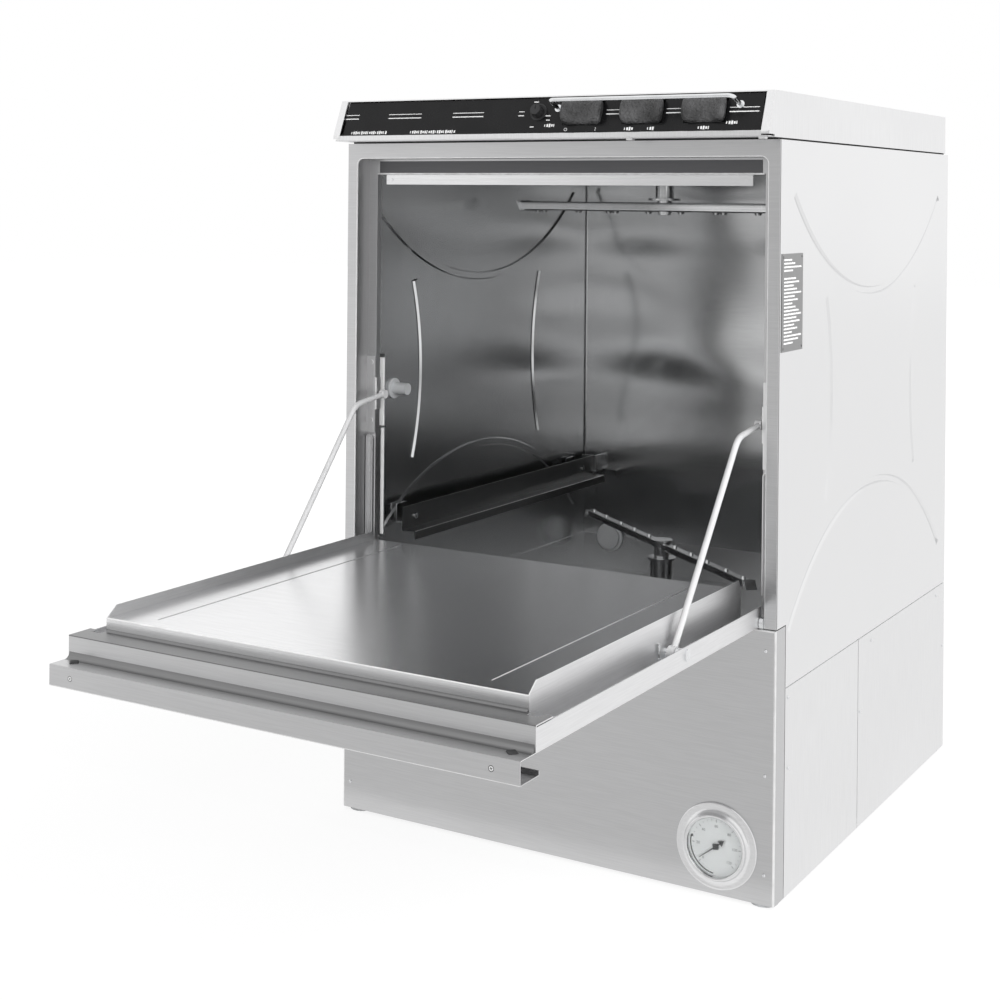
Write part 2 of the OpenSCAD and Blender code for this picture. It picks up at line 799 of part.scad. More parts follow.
module door_skin() {
  x = door_w / 2;
  z = -skin_drop;
  t = door_t;
  color("silver") at_hinge() difference() {
    union() {
      block([-x, -door_l - handle_reach + t, z], [x, 2, z + t]);
      both_sides() block([x - t, -door_l, z], [x, 3, z + skin_rim]);
      both_sides() rod_along_x(x - t, x, 0, 0, skin_drop);
      block([-x, -door_l, z], [x, -door_l + t, z + skin_rim + 1]);
    }
    for (s = [-1, 1]) {
      rod_along_x(s * x - 3, s * x + 3, 0, 0, hinge_r + fit);
      rod_along_x(s * x - 3, s * x + 3, -rod_pivot_l, rod_pivot_z, hinge_r + fit);
    }
  }
}

// Folded finger channel beyond the skin's end.
module door_handle() {
  x = door_w / 2;
  z = -skin_drop;
  y = -door_l - handle_reach;
  t = door_t;
  color("silver") at_hinge() {
    block([-x, y, z - handle_h + t], [x, y + t, z + t]);
    block([-x, y, z - handle_h], [x, y + handle_fold, z - handle_h + t]);
    block([-x, y + handle_fold - t, z - handle_h], [x, y + handle_fold, z - handle_h + 5]);
  }
}

// Inner pan: plate, side flanges, end wall and the ledge that closes the door's end.
module door_liner() {
  x = liner_w / 2;
  t = door_t;
  low = -skin_drop + t;
  ledge = -skin_drop + skin_rim + 1;
  crease = x - 52;
  top = liner_z + flange_h;
  color("gainsboro") at_hinge() difference() {
    union() {
      block([-x, -liner_l, liner_z - t], [x, 1, liner_z]);
      both_sides() in_side_plane(x - t) linear_extrude(t)
        polygon([[-liner_l, low], [-liner_l, liner_z], [-liner_l + 14, top], [-6, top],
          [1, liner_z], [1, low]]);
      block([-x, -liner_l, ledge], [x, -liner_l + t, liner_z]);
      block([-door_w / 2, -door_l, ledge], [door_w / 2, -liner_l + t, ledge + t]);
      block([-x, 1 - t, low], [x, 1, liner_z]);
    }
    for (s = [-1, 1]) {
      translate([s * crease, -liner_l / 2, liner_z]) cube([3, liner_l - 44, 1], center = true);
      block([s * rod_x - 6, -liner_l - 8, ledge - 1], [s * rod_x + 6, -liner_l + 5, ledge + 3]);
    }
  }
}

module door_catches() {
  color("#222222") at_hinge() both_sides()
    translate([door_w / 2 - 18, -door_l - 10, -skin_drop + door_t])
      cylinder(r1 = 7, r2 = 5.5, h = 1.3, $fn = 4);
}

// Pins that carry the rods, with a head outside the skin and a tab on the liner.
module rod_pivots() {
  x1 = door_w / 2;
  color("lightgray") at_hinge() both_sides() {
    rod_along_x(liner_w / 2, x1, -rod_pivot_l, rod_pivot_z, hinge_r);
    rod_along_x(x1, x1 + 2, -rod_pivot_l, rod_pivot_z, hinge_r + 2.5);
    rod_along_x(rod_x + rod_r + 1, x1 - door_t, -rod_pivot_l, rod_pivot_z, hinge_r + 2);
    translate([liner_w / 2, -rod_pivot_l - 22, -skin_drop + door_t]) {
      cube([rod_x - rod_r - 1 - liner_w / 2, 30, 10]);
      cube([2, 4, 26]);
    }
  }
}

// Support rod from its pivot on the door up to the edge of the front frame.
module support_rod() {
  pivot = [hinge_y - rod_pivot_l, hinge_z + rod_pivot_z];
  top = [rod_top_y, rod_top_z];
  bend = [-29, rod_top_z - 8];
  eye = 2 * rod_r + 1;
  in_side_plane(rod_x) {
    difference() {
      union() {
        bent_bar([pivot + 6 * unit(pivot, bend), bend, top], rod_r, rod_bend);
        translate([pivot.x, pivot.y, -eye / 2]) cylinder(r = hinge_r + 3.2, h = eye);
      }
      translate([pivot.x, pivot.y, -20]) cylinder(r = hinge_r + fit, h = 40);
    }
    translate([top.x, top.y, -eye / 2]) cylinder(r = 5.5, h = eye);
  }
}

module right_rod() {
  color("white") from_front() support_rod();
}

module left_rod() {
  color("white") from_front() mirror([1, 0, 0]) support_rod();
}

// ---- wash system ----

// Arm tube with a groove along each side, slanted end plates, nozzles at the distances
// listed and a hub that reaches from -hub[0] up to a closing disc at hub[1].
module wash_arm(turned, w, h, hub, disc_r, nozzles) {
  lean = 28;
  plate_h = (h + 2) / cos(lean);
  color("gainsboro") from_front() translate([0, arm_y, 0]) rotate([0, 0, turned]) {
    difference() {
      translate([-arm_l, 0, 0]) rotate([90, 0, 90]) linear_extrude(2 * arm_l) difference() {
        rounded(w, h, h / 4);
        for (x = [-w / 2, w / 2], y = [-h / 6, h / 6]) translate([x, y]) square([1.6, 1], center = true);
      }
      cylinder(r = hub_r - 1, h = 60, center = true);
      for (s = [0, 180]) rotate([0, 0, s]) translate([arm_l, 0, -h / 2]) rotate([0, -lean, 0])
        translate([-2, -w, -h]) cube([h, 2 * w, 4 * h]);
    }
    for (s = [0, 180], i = [0, 1]) rotate([0, 0, s]) translate([arm_l - 1 - i * 5, 0, -h / 2])
      rotate([0, -lean, 0]) translate([-2, -w / 2 - 1, -1]) cube([2, w + 2, plate_h]);
    for (s = [0, 180], l = nozzles) rotate([0, 0, s]) translate([l, 0, h / 2 - 1])
      cylinder(r1 = w / 4, r2 = w / 6, h = 4);
    difference() {
      translate([0, 0, -hub[0]]) cylinder(r = hub_r, h = hub[0] + hub[1]);
      translate([0, 0, -hub[0] - 1]) cylinder(r = spindle_r + fit, h = hub[0] + hub[1] + 2);
    }
    translate([0, 0, hub[1]]) cylinder(r = disc_r, h = disc_t);
  }
}

module lower_arm() {
  translate([0, 0, lower_arm_z])
    wash_arm(lower_arm_turn, lower_arm_w, lower_arm_h, lower_hub, 15, [41, 90, 137, 190, 236]);
}

module upper_arm() {
  translate([0, 0, upper_arm_z]) mirror([0, 0, 1])
    wash_arm(upper_arm_turn, upper_arm_w, upper_arm_h, upper_hub, 9, [27, 84, 96, 150, 213, 225]);
}

// Pedestal, spindle and feed pipe of the lower arm, standing on the tub floor.
module lower_manifold() {
  rise = lower_arm_z - lower_hub[0] - seat - manifold_z;
  color("silver") from_front() {
    translate([0, arm_y, manifold_z]) {
      cylinder(r = neck_r, h = rise - 8);
      translate([0, 0, rise - 27]) cylinder(r = head_r, h = 26);
      translate([0, 0, rise - 3]) cylinder(r = head_r + 3.5, h = 3);
      cylinder(r = spindle_r, h = rise + lower_hub[0] + lower_hub[1] - spindle_gap);
      sphere(neck_r);
    }
    rod_along_x(0, riser_x - pipe_r - 2 - seat, arm_y, manifold_z, pipe_r - 1);
    block([-13, arm_y - 5, tub_floor_z], [-3, arm_y + 5, manifold_z - 10]);
  }
}

// Pressure pipe from the pump up the back of the tub to the top feed.
module riser_pipe() {
  y = inner_back - pipe_r - 6;
  low = pump_z + volute_r - 3;
  color("silver") from_front() {
    translate([riser_x, arm_y, low]) cylinder(r = pipe_r, h = manifold_z - low);
    translate([riser_x, 0, 0]) rotate([90, 0, 90])
      bent_bar([[arm_y, manifold_z], [y, manifold_z], [y, feed_z], [arm_y + feed_joint, feed_z]],
        pipe_r, 26);
    translate([riser_x, arm_y, manifold_z - 17]) cylinder(r = pipe_r + 2, h = 34);
    block([riser_x - 4, y + pipe_r - 2, body_h / 2], [riser_x + 4, inner_back, body_h / 2 + 20]);
  }
}

// Feed pipe, spindle and ceiling stud of the upper arm.
module upper_manifold() {
  low = upper_arm_z + upper_hub[0] + seat;
  color("silver") from_front() {
    translate([0, 0, feed_z])
      bent_bar([[riser_x, arm_y + feed_joint], [riser_x, arm_y], [0, arm_y]], pipe_r, 22);
    translate([0, arm_y, 0]) {
      translate([0, 0, low + 1]) cylinder(r = neck_r - 2, h = feed_z - low - 1);
      translate([0, 0, low]) cylinder(r = head_r + 7, h = 3);
      translate([0, 0, upper_arm_z - upper_hub[1] + spindle_gap])
        cylinder(r = spindle_r, h = upper_hub[0] + upper_hub[1]);
      translate([0, 0, feed_z]) sphere(neck_r);
      translate([0, 0, feed_z]) cylinder(r = bolt_r - fit, h = body_h - feed_z + seat);
    }
  }
}

module sump_strainer() {
  r = sump_r - 2;
  depth = sump_depth - 14;
  color("gainsboro") from_front() translate([well_x, arm_y, tub_floor_z]) {
    difference() {
      union() {
        translate([0, 0, seat]) cylinder(r = sump_r + 3.5, h = 1.5);
        translate([0, 0, -depth]) cylinder(r1 = r - 10, r2 = r - 4, h = depth + 1);
      }
      translate([0, 0, -depth + 1.5]) cylinder(r1 = r - 11.5, r2 = r - 5.5, h = depth + 2);
      for (a = [0:30:330], i = [0:2]) rotate([0, 0, a]) translate([20 + i * 12, 0, -depth - 1])
        cylinder(r = 2.5, h = 4, $fn = 16);
    }
    translate([0, 0, 1]) rotate([90, 0, 0])
      bent_bar([[-sump_r - 1, 0], [-sump_r - 1, 14], [sump_r + 1, 14], [sump_r + 1, 0]], 2, 8);
  }
}

module overflow_pipe() {
  low = tub_floor_z - 20;
  color("silver") from_front() translate([drain_x, drain_y, low]) {
    tube_up(drain_r - 1, 1.5, 82);
    translate([0, 0, 20]) tube_up(drain_r + 5, 6.5, 2.5);
    translate([0, 0, 82]) difference() {
      cylinder(r = drain_r + 2, h = 8);
      translate([0, 0, -1]) cylinder(r = drain_r - 2, h = 7);
    }
  }
}

// Heating element: one bent bar with a flange on the back wall.
module tank_heater() {
  x = riser_x + 60;
  back = inner_back - sheet_t;
  color("dimgray") from_front() {
    translate([0, 0, manifold_z]) bent_bar([[x - 12, back - 2], [x - 12, arm_y + 40],
      [x + 32, arm_y + 40], [x + 32, back - 2]], 4, 14);
    rod_along_y(back - 8, back, x + 10, manifold_z, manifold_z - tub_floor_z - 1);
  }
}

// Round fitting on the left wall, and the capped spare port at the back.
module tub_fittings() {
  back = inner_back - sheet_t;
  color("lightgray") from_front() {
    rod_along_x(-inner_x, -inner_x + 3, port_y, port_z, 14);
    rod_along_x(-inner_x + 3, -inner_x + 24, port_y, port_z, 8);
    rod_along_y(back - 3, back, cap_x, cap_z, cap_r);
    rod_along_y(back - 9, back - 3, cap_x, cap_z, cap_r - 4);
  }
}

// ---- racking ----

module rack_rails() {
  x = inner_x - rail_off;
  y0 = rail_start;
  y1 = inner_back - rail_end;
  z = rail_z - rail_web;
  color("silver") from_front() both_sides() {
    block([x - sheet_t, y0, z], [x, y1, rail_z]);
    block([x - rail_ledge, y0, z - sheet_t], [x, y1, z]);
    block([x - rail_ledge, y0, z - sheet_t - 10], [x - rail_ledge + sheet_t, y1, z]);
  }
}

// Brackets from the beaded side walls, and end plates at the back of the rails.
module rail_brackets() {
  x = inner_x - rail_off;
  wall = inner_x - bead_h - seat;
  z = rail_z - rail_web;
  y1 = inner_back - rail_end;
  color("lightgray") from_front() both_sides() {
    for (y = [rail_start + 18, y1 - 50]) {
      block([x, y, z + 4], [wall, y + 24, z + 6]);
      block([wall - 2, y, z + 4], [wall, y + 24, z + 30]);
      block([x, y, z + 4], [x + 2, y + 24, z + 24]);
      rod_along_x(x - sheet_t - 2, x - sheet_t, y + 12, z + 14, bolt_r + 1);
    }
    block([x - 6, y1, rail_z - 26], [x + 20, y1 + 3, rail_z]);
    block([x - 6, y1, rail_z - 26], [x - 3, inner_back, rail_z]);
  }
}

// ---- base machinery ----

// Pump housing with its suction pipe from the sump well.
module pump_volute() {
  z = pump_z;
  x = volute_x;
  suction = [[x + volute_t + 1, z], [well_x, z], [well_x, tub_floor_z - sump_depth]];
  color("#3a3d42") from_front() difference() {
    union() {
      rod_along_x(x, x + volute_l, arm_y, z, volute_r);
      rod_along_x(x - 6, x, arm_y, z, volute_r * 2 / 3);
      translate([0, arm_y, 0]) rotate([90, 0, 0]) bent_bar(suction, pipe_r + 2, 22);
    }
    rod_along_x(x + volute_t, x + volute_l - volute_t, arm_y, z, impeller_r + 3);
    rod_along_x(x + volute_l / 2, x + volute_l + 1, arm_y, z, shaft_r + fit);
    rod_along_x(x - 20, x + volute_t + 1, arm_y, z, pipe_r - pipe_t);
    translate([riser_x, arm_y, z]) cylinder(r = pipe_r - pipe_t, h = volute_r + 1);
    translate([riser_x, arm_y, z + volute_r - 3 - seat]) cylinder(r = pipe_r + fit, h = 40);
    translate([well_x, arm_y, z + 5]) cylinder(r = pipe_r - pipe_t, h = 60);
  }
}

// Motor housing with cooling fins, standing on the cross members.
module pump_motor() {
  x = volute_x + volute_l;
  z1 = base_z + base_h;
  color("#50545a") from_front() difference() {
    union() {
      rod_along_x(x, x + 8, arm_y, pump_z, motor_r);
      rod_along_x(x + 8, x + motor_l - 20, arm_y, pump_z, motor_r - 4);
      rod_along_x(x + motor_l - 20, x + motor_l, arm_y, pump_z, motor_r - 1);
      for (a = [-120:15:120]) translate([x + 8, arm_y, pump_z]) rotate([a, 0, 0])
        translate([0, -1, motor_r - 6]) cube([motor_l - 28, 2, 4.5]);
      for (y = [-36, 28]) block([x + 20, arm_y + y - 4, z1], [x + 60, arm_y + y + 12, pump_z - 30]);
    }
    rod_along_x(x - 1, x + motor_l - 5, arm_y, pump_z, shaft_r + fit);
    rod_along_x(x + 14, x + motor_l - 26, arm_y, pump_z, core_r + 1);
  }
}

// Shaft with the motor's core and the impeller.
module pump_rotor() {
  x = volute_x + volute_t + 2;
  motor_x = volute_x + volute_l;
  color("#9a9da2") from_front() {
    rod_along_x(x, motor_x + motor_l - 6, arm_y, pump_z, shaft_r);
    rod_along_x(motor_x + 16, motor_x + motor_l - 28, arm_y, pump_z, core_r);
    rod_along_x(x + 10, x + 22, arm_y, pump_z, shaft_r + 5);
    rod_along_x(x + 18, x + 22, arm_y, pump_z, impeller_r);
    for (a = [0:60:300]) translate([x + 6, arm_y, pump_z]) rotate([a, 0, 0])
      translate([0, -1, shaft_r + 2]) cube([14, 2, impeller_r - shaft_r - 3]);
  }
}

module drain_valve() {
  z = tub_floor_z - sheet_t;
  w = 22;
  color("#2e4a6b") from_front() difference() {
    union() {
      translate([drain_x, drain_y, z - 26]) cylinder(r = drain_r + 4, h = 26);
      block([drain_x - w, drain_y - w, z - 76], [drain_x + w, drain_y + w, z - 25]);
      translate([drain_x, 0, 0]) rotate([90, 0, 90]) bent_bar([[drain_y, z - 72],
        [drain_y, service_z], [body_d + 1, service_z]], drain_r - pipe_t, 28);
      rod_along_y(body_d, body_d + service_reach, drain_x, service_z, drain_r);
      block([drain_x + w, drain_y - 14, z - 66], [drain_x + w + 34, drain_y + 14, z - 36]);
    }
    translate([drain_x, drain_y, z - 24]) cylinder(r = drain_r - 1 + fit, h = 40);
    rod_along_y(body_d - 30, body_d + service_reach + 1, drain_x, service_z, drain_r - 3);
  }
}

module fill_valve() {
  z = service_z;
  y = fill_y;
  color("#8a8d52") from_front() difference() {
    union() {
      rod_along_y(y, body_d, fill_x, z, inlet_r - 1);
      rod_along_y(body_d, body_d + service_reach, fill_x, z, inlet_r);
      block([fill_x - 20, y - 22, z - 18], [fill_x + 20, y + 22, z + 18]);
      translate([fill_x, y, z + 17]) cylinder(r = 14, h = 30);
      translate([fill_x, y, z + 40]) cylinder(r = inlet_r / 2, h = tub_floor_z - z);
      rod_along_y(inner_back - 6, inner_back - seat, fill_x, z, inlet_r + 6);
    }
    rod_along_y(body_d - 20, body_d + service_reach + 1, fill_x, z, inlet_r - 2.5);
  }
}

// Two peristaltic dosing pumps on one bracket that stands on the base frame.
module dosing_pumps() {
  foot = base_z + base_t;
  z = base_z + base_h;
  y = 60;
  r = 27;
  x0 = 50 - half_w;
  x1 = x0 + dosing_w;
  color("#d8d8d4") from_front() {
    block([x0, y, foot], [x1, y + 3, z + 90]);
    block([x0, 10, foot], [x1, y + 3, foot + 3]);
    for (x = [x0 + 35, x1 - 40]) {
      block([x - 26, y + 3, z + 30], [x + 26, y + 58, z + 84]);
      rod_along_y(y - 24, y, x, z + 57, r);
      rod_along_y(y - 30, y - 24, x, z + 57, r - 5);
      for (s = [-1, 1]) translate([x + s * r / 2, y - 12, z + 78]) cylinder(r = 4, h = 24);
    }
  }
}

// Electrical box on the tub's ceiling, under the top cover.
module control_box() {
  z = body_h;
  x = 160;
  y = 150;
  l = 180;
  color("#b9bcc0") from_front() {
    block([-x, y, z], [x, y + l, z + cover_h - 15]);
    for (strap = [y + 10, y + l - 25]) block([-x - 15, strap, z], [x + 15, strap + 15, z + 3]);
    for (i = [-3:3]) rod_along_y(y - 6, y, i * 40, z + 18, 6);
  }
}

module cable_gland() {
  z = service_z;
  color("#1d1d1f") from_front() difference() {
    union() {
      rod_along_y(inner_back - 12, body_d + 4, 0, z, gland_bore + 5);
      translate([0, body_d, z]) rotate([-90, 0, 0]) cylinder(r = gland_bore + 9, h = 5, $fn = 6);
      translate([0, body_d + 5, z]) rotate([-90, 0, 0])
        cylinder(r1 = gland_bore + 6, r2 = gland_bore + 3, h = 13);
      translate([0, inner_back - 6, z]) rotate([-90, 0, 0]) cylinder(r = gland_bore + 9, h = 6, $fn = 6);
    }
    rod_along_y(inner_back - 13, body_d + 20, 0, z, gland_bore);
  }
}

// ---- temperature gauge ----

// Turns children so that local z points out of the front panel at the gauge.
module at_gauge() {
  from_front() translate([gauge_x, 0, gauge_z]) rotate([90, 0, 0]) children();
}

module gauge_case() {
  color("gainsboro") at_gauge() {
    rotate_extrude($fn = 96) polygon([[dial_r + 1, 0], [gauge_r, 0], [gauge_r, 1.2], [gauge_r - 3, 2.4],
      [dial_r + 5, 6.5], [dial_r + 4, 9], [dial_r + 1, 9], [dial_r, 7.6], [dial_r, -34],
      [dial_r + 1, -34]]);
    translate([0, 0, -35]) cylinder(r = dial_r + 1, h = 2);
    translate([0, 0, -50]) cylinder(r = 7, h = 15);
  }
}

module gauge_dial() {
  color("whitesmoke") at_gauge() difference() {
    translate([0, 0, 0]) cylinder(r = dial_r - fit, h = 1);
    translate([0, 0, -1]) cylinder(r = 2 + fit, h = 4);
  }
}

module gauge_lens() {
  color("lightcyan", 0.4) at_gauge() translate([0, 0, 6]) cylinder(r = dial_r - fit, h = 1.4);
}

module gauge_needle() {
  color("black") at_gauge() {
    translate([0, 0, -8]) cylinder(r = 2, h = 10.2);
    translate([0, 0, 2]) cylinder(r = 4, h = 2.2);
    rotate([0, 0, 218]) translate([0, 0, 2.4]) linear_extrude(0.9)
      polygon([[-10, -3], [-10, 3], [0, 1.4], [dial_r - 8, 0.5], [dial_r - 8, -0.5], [0, -1.4]]);
  }
}

tub_left_wall();
tub_right_wall();
tub_back_wall();
tub_ceiling();
tub_floor();
front_frame();
splash_strip();
base_frame();
levelling_feet();
front_panel();
right_front_panel();
right_rear_panel();
left_front_panel();
left_rear_panel();
back_panel();
panel_screws();
cover_gasket();
top_cover();
console_shell();
control_fascia();
guard_bar();
switch_bodies();
timer_body();
data_plate();
jamb_brackets();
hinge_pins();
rack_rails();
rail_brackets();
tub_fittings();
lower_manifold();
riser_pipe();
upper_manifold();
overflow_pipe();
tank_heater();
pump_volute();
pump_motor();
pump_rotor();
drain_valve();
fill_valve();
dosing_pumps();
control_box();
cable_gland();
gauge_case();
gauge_dial();
gauge_lens();
door_skin();
door_handle();
door_liner();
door_catches();
rod_pivots();
left_rod();
right_rod();
lower_arm();
upper_arm();
power_rocker();
fill_rocker();
start_rocker();
timer_knob();
gauge_needle();
sump_strainer();
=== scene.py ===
"""Undercounter glass washer: sheet metal finishes, fitted detail and a plain studio round its solids."""

import json
import math

import bmesh
import bpy
from mathutils import Matrix, Vector


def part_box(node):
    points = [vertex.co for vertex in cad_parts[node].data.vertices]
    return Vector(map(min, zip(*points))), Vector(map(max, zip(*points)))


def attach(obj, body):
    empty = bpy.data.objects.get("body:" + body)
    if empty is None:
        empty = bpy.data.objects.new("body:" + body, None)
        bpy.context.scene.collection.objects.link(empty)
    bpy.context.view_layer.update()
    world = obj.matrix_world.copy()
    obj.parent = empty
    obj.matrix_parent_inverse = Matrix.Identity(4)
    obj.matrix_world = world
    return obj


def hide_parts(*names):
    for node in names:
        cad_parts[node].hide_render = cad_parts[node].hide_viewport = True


bl_info = {
    "name": "Glass washer finish",
    "version": (1, 0, 0),
    "blender": (4, 5, 0),
    "location": "View3D > Sidebar > Washer",
    "description": "Folded sheet edges, printed marks, fittings and studio for an undercounter glass washer",
    "category": "Object",
}

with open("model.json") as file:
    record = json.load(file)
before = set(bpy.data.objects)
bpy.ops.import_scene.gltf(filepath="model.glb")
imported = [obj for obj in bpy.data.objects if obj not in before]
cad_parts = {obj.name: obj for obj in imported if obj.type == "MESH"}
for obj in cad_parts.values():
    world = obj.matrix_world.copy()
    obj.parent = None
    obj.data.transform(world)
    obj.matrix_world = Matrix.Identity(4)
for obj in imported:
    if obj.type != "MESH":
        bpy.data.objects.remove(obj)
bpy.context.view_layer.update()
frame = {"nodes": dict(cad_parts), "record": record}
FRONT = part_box("front_frame")[0].y
MM = 0.001

# The body's sizes in millimetres; places on it are measured from the middle of its front face, on the floor.
BODY_HALF = 300
BODY_DEPTH = 668
# The control strip: its lower edge and its lean.
STRIP_FOOT = (0, -30, 881)
STRIP_LEAN = 70
# The rockers: the height of their axes up the strip and their places along it.
ROCKER_HEIGHT = 26.5
ROCKERS = (("power_switch", "power_rocker", 60), ("fill_switch", "fill_rocker", 139),
           ("start_switch", "start_rocker", 218))
# The middle of the gauge, the turn of its first mark and the step from mark to mark, in degrees.
GAUGE_MIDDLE = (230, 0, 60)
FIRST_MARK = 225
MARK_STEP = 11.25
# The axis of the door's hinge.
HINGE_AXIS = (0, 2, 323)
# Edges that turn by more than this, in degrees, are folds or cut edges.
CORNER = 35
# Edges of a solid that turn by less than this, in degrees, lie in one flat face.
FLAT = 0.4
# Points of a solid that are closer than this, in metres, are one.
WELD = 0.00002
# A fold is longer than this, and the faces beside it reach further than this, in metres.
SHORTEST_FOLD = 0.03
BROAD = 0.008
# Faces of the door's pan that lie lower than this with the door open, in metres, are its ledge's, which is
# painted darker as shade.
LEDGE_BELOW = 0.345


def at(x, y, z):
    """A place measured in millimetres from the middle of the front face, at floor level."""
    return Vector((x * MM, y * MM + FRONT, z * MM))


def turned(angle, axis):
    """A turn by degrees round an axis."""
    return Matrix.Rotation(math.radians(angle), 4, axis)


# Local frames in millimetres: the body, the control strip, the gauge and the door's hinge.
BODY = Matrix.Translation(at(0, 0, 0)) @ Matrix.Scale(MM, 4)
STRIP = Matrix.Translation(at(*STRIP_FOOT)) @ turned(STRIP_LEAN, "X") @ Matrix.Scale(MM, 4)
GAUGE = Matrix.Translation(at(*GAUGE_MIDDLE)) @ turned(90, "X") @ Matrix.Scale(MM, 4)
HINGE = Matrix.Translation(at(*HINGE_AXIS)) @ Matrix.Scale(MM, 4)


class WasherFinish(bpy.types.PropertyGroup):
    """Colours of the washer's finishes."""
    # The outer sheets are painted lighter than the front sheet, as the light that falls on the sides and the
    # top.
    outer: bpy.props.FloatVectorProperty(
        name="Outer sheet", description="Colour of the side walls and the top cover",
        default=(0.86, 0.86, 0.865), size=3, subtype="COLOR", min=0, max=1)
    # The front sheet is the same steel painted darker than the outer sheets, as the shade on the front.
    panel: bpy.props.FloatVectorProperty(
        name="Front sheet", description="Colour of the front frame, the front panel and the door",
        default=(0.62, 0.62, 0.625), size=3, subtype="COLOR", min=0, max=1)
    # The tub's sheets are painted darker than the outer sheets, as the shade inside the tub.
    tub: bpy.props.FloatVectorProperty(
        name="Tub sheet", description="Colour of the sheets inside the tub",
        default=(0.66, 0.665, 0.67), size=3, subtype="COLOR", min=0, max=1)
    strip: bpy.props.FloatVectorProperty(
        name="Control strip", description="Colour of the control strip",
        default=(0.006, 0.006, 0.0065), size=3, subtype="COLOR", min=0, max=1)
    marks: bpy.props.FloatVectorProperty(
        name="Printed marks", description="Colour of the marks on the control strip",
        default=(0.8, 0.8, 0.8), size=3, subtype="COLOR", min=0, max=1)


class WasherSizes(bpy.types.PropertyGroup):
    """Sizes of the washer's folds and fittings."""
    fold: bpy.props.FloatProperty(
        name="Fold radius", description="Outer radius of the folded sheet corners",
        default=0.0022, min=0.0005, max=0.004, unit="LENGTH")
    nip: bpy.props.FloatProperty(
        name="Edge softening", description="Width of the softened cut edges",
        default=0.0003, min=0.0001, max=0.001, unit="LENGTH")
    print_height: bpy.props.FloatProperty(
        name="Print height", description="Height of the printed marks above their surface",
        default=0.00008, min=0.00002, max=0.0003, unit="LENGTH")


class WasherStudio(bpy.types.PropertyGroup):
    """Light levels and the camera's lens."""
    lens: bpy.props.FloatProperty(
        name="Lens", description="Focal length of the camera, in millimetres",
        default=60.31, min=20, max=200, unit="CAMERA")
    room: bpy.props.FloatProperty(
        name="Room light", description="Level of the even light from all round",
        default=0.55, min=0, max=2, subtype="FACTOR")
    key: bpy.props.FloatProperty(
        name="Key light", description="Power of the large lamp on the right",
        default=90.0, min=0, max=400, unit="POWER")
    card: bpy.props.FloatProperty(
        name="Card tone", description="Tone of the grey cards that the front reflects",
        default=0.6, min=0, max=1, subtype="FACTOR")


def settings():
    """The user's finishes, sizes and studio levels."""
    scene = bpy.context.scene
    return scene.washer_finish, scene.washer_sizes, scene.washer_studio


# ---- finishes ----

def shade(colour, times):
    """The same colour, darker or lighter."""
    return [times * c for c in colour]


class Recipe:
    """A procedural material that is built up step by step."""

    def __init__(self, name, colour, metallic=0.0, roughness=0.5, ior=None):
        self.material = bpy.data.materials.new(name)
        self.material.use_nodes = True
        self.tree = self.material.node_tree
        self.tree.nodes.clear()
        self.shader = self.add("ShaderNodeBsdfPrincipled")
        self.output = self.add("ShaderNodeOutputMaterial")
        self.join(self.shader.outputs["BSDF"], self.output.inputs["Surface"])
        self.colour, self.roughness = colour, roughness
        self.shader.inputs["Base Color"].default_value = (*colour, 1)
        self.shader.inputs["Metallic"].default_value = metallic
        self.shader.inputs["Roughness"].default_value = roughness
        if ior:
            self.shader.inputs["IOR"].default_value = ior
        self.coord = self.add("ShaderNodeTexCoord")
        self.bump = None

    def add(self, kind, **values):
        node = self.tree.nodes.new(kind)
        for key, value in values.items():
            setattr(node, key, value)
        return node

    def join(self, a, b):
        self.tree.links.new(a, b)

    def place(self, scale=(1, 1, 1)):
        """Places on the piece itself, scaled."""
        mapping = self.add("ShaderNodeMapping")
        mapping.inputs["Scale"].default_value = scale
        self.join(self.coord.outputs["Object"], mapping.inputs["Vector"])
        return mapping.outputs["Vector"]

    def noise(self, vector, scale, detail=2.0, rough=0.5):
        noise = self.add("ShaderNodeTexNoise")
        noise.inputs["Scale"].default_value = scale
        noise.inputs["Detail"].default_value = detail
        noise.inputs["Roughness"].default_value = rough
        self.join(vector, noise.inputs["Vector"])
        return noise.outputs["Fac"]

    def span(self, value, low, high, from_low=0.3, from_high=0.7):
        """Takes a value from one range to another, with a smooth start and end."""
        node = self.add("ShaderNodeMapRange", interpolation_type="SMOOTHSTEP")
        limits = {"From Min": from_low, "From Max": from_high, "To Min": low, "To Max": high}
        for name, number in limits.items():
            node.inputs[name].default_value = number
        self.join(value, node.inputs["Value"])
        return node.outputs["Result"]

    def blend(self, factor, a, b):
        """Mixes two colours; each is given as numbers or as a socket."""
        mix = self.add("ShaderNodeMix", data_type="RGBA")
        for socket, value in ((mix.inputs["A"], a), (mix.inputs["B"], b)):
            if isinstance(value, bpy.types.NodeSocket):
                self.join(value, socket)
            else:
                socket.default_value = (*(min(1.0, c) for c in value), 1)
        self.join(factor, mix.inputs["Factor"])
        return mix.outputs["Result"]

    def tone(self, value, colour, dark, light):
        return self.blend(self.span(value, 0, 1), shade(colour, dark), shade(colour, light))

    def vary_colour(self, value, dark, light):
        self.join(self.tone(value, self.colour, dark, light), self.shader.inputs["Base Color"])

    def vary_roughness(self, value, low, high):
        rough = self.span(value, self.roughness * low, self.roughness * high)
        self.join(rough, self.shader.inputs["Roughness"])

    def press(self, value, distance):
        """Adds one more layer of relief, distance metres high."""
        bump = self.add("ShaderNodeBump")
        bump.inputs["Distance"].default_value = distance
        self.join(value, bump.inputs["Height"])
        if self.bump:
            self.join(self.bump.outputs["Normal"], bump.inputs["Normal"])
        self.bump = bump
        self.join(bump.outputs["Normal"], self.shader.inputs["Normal"])


# The brushed lines: how many times longer than wide they are, and their depth in metres.
GRAIN_STRETCH = 45
GRAIN_DEPTH = 0.00003


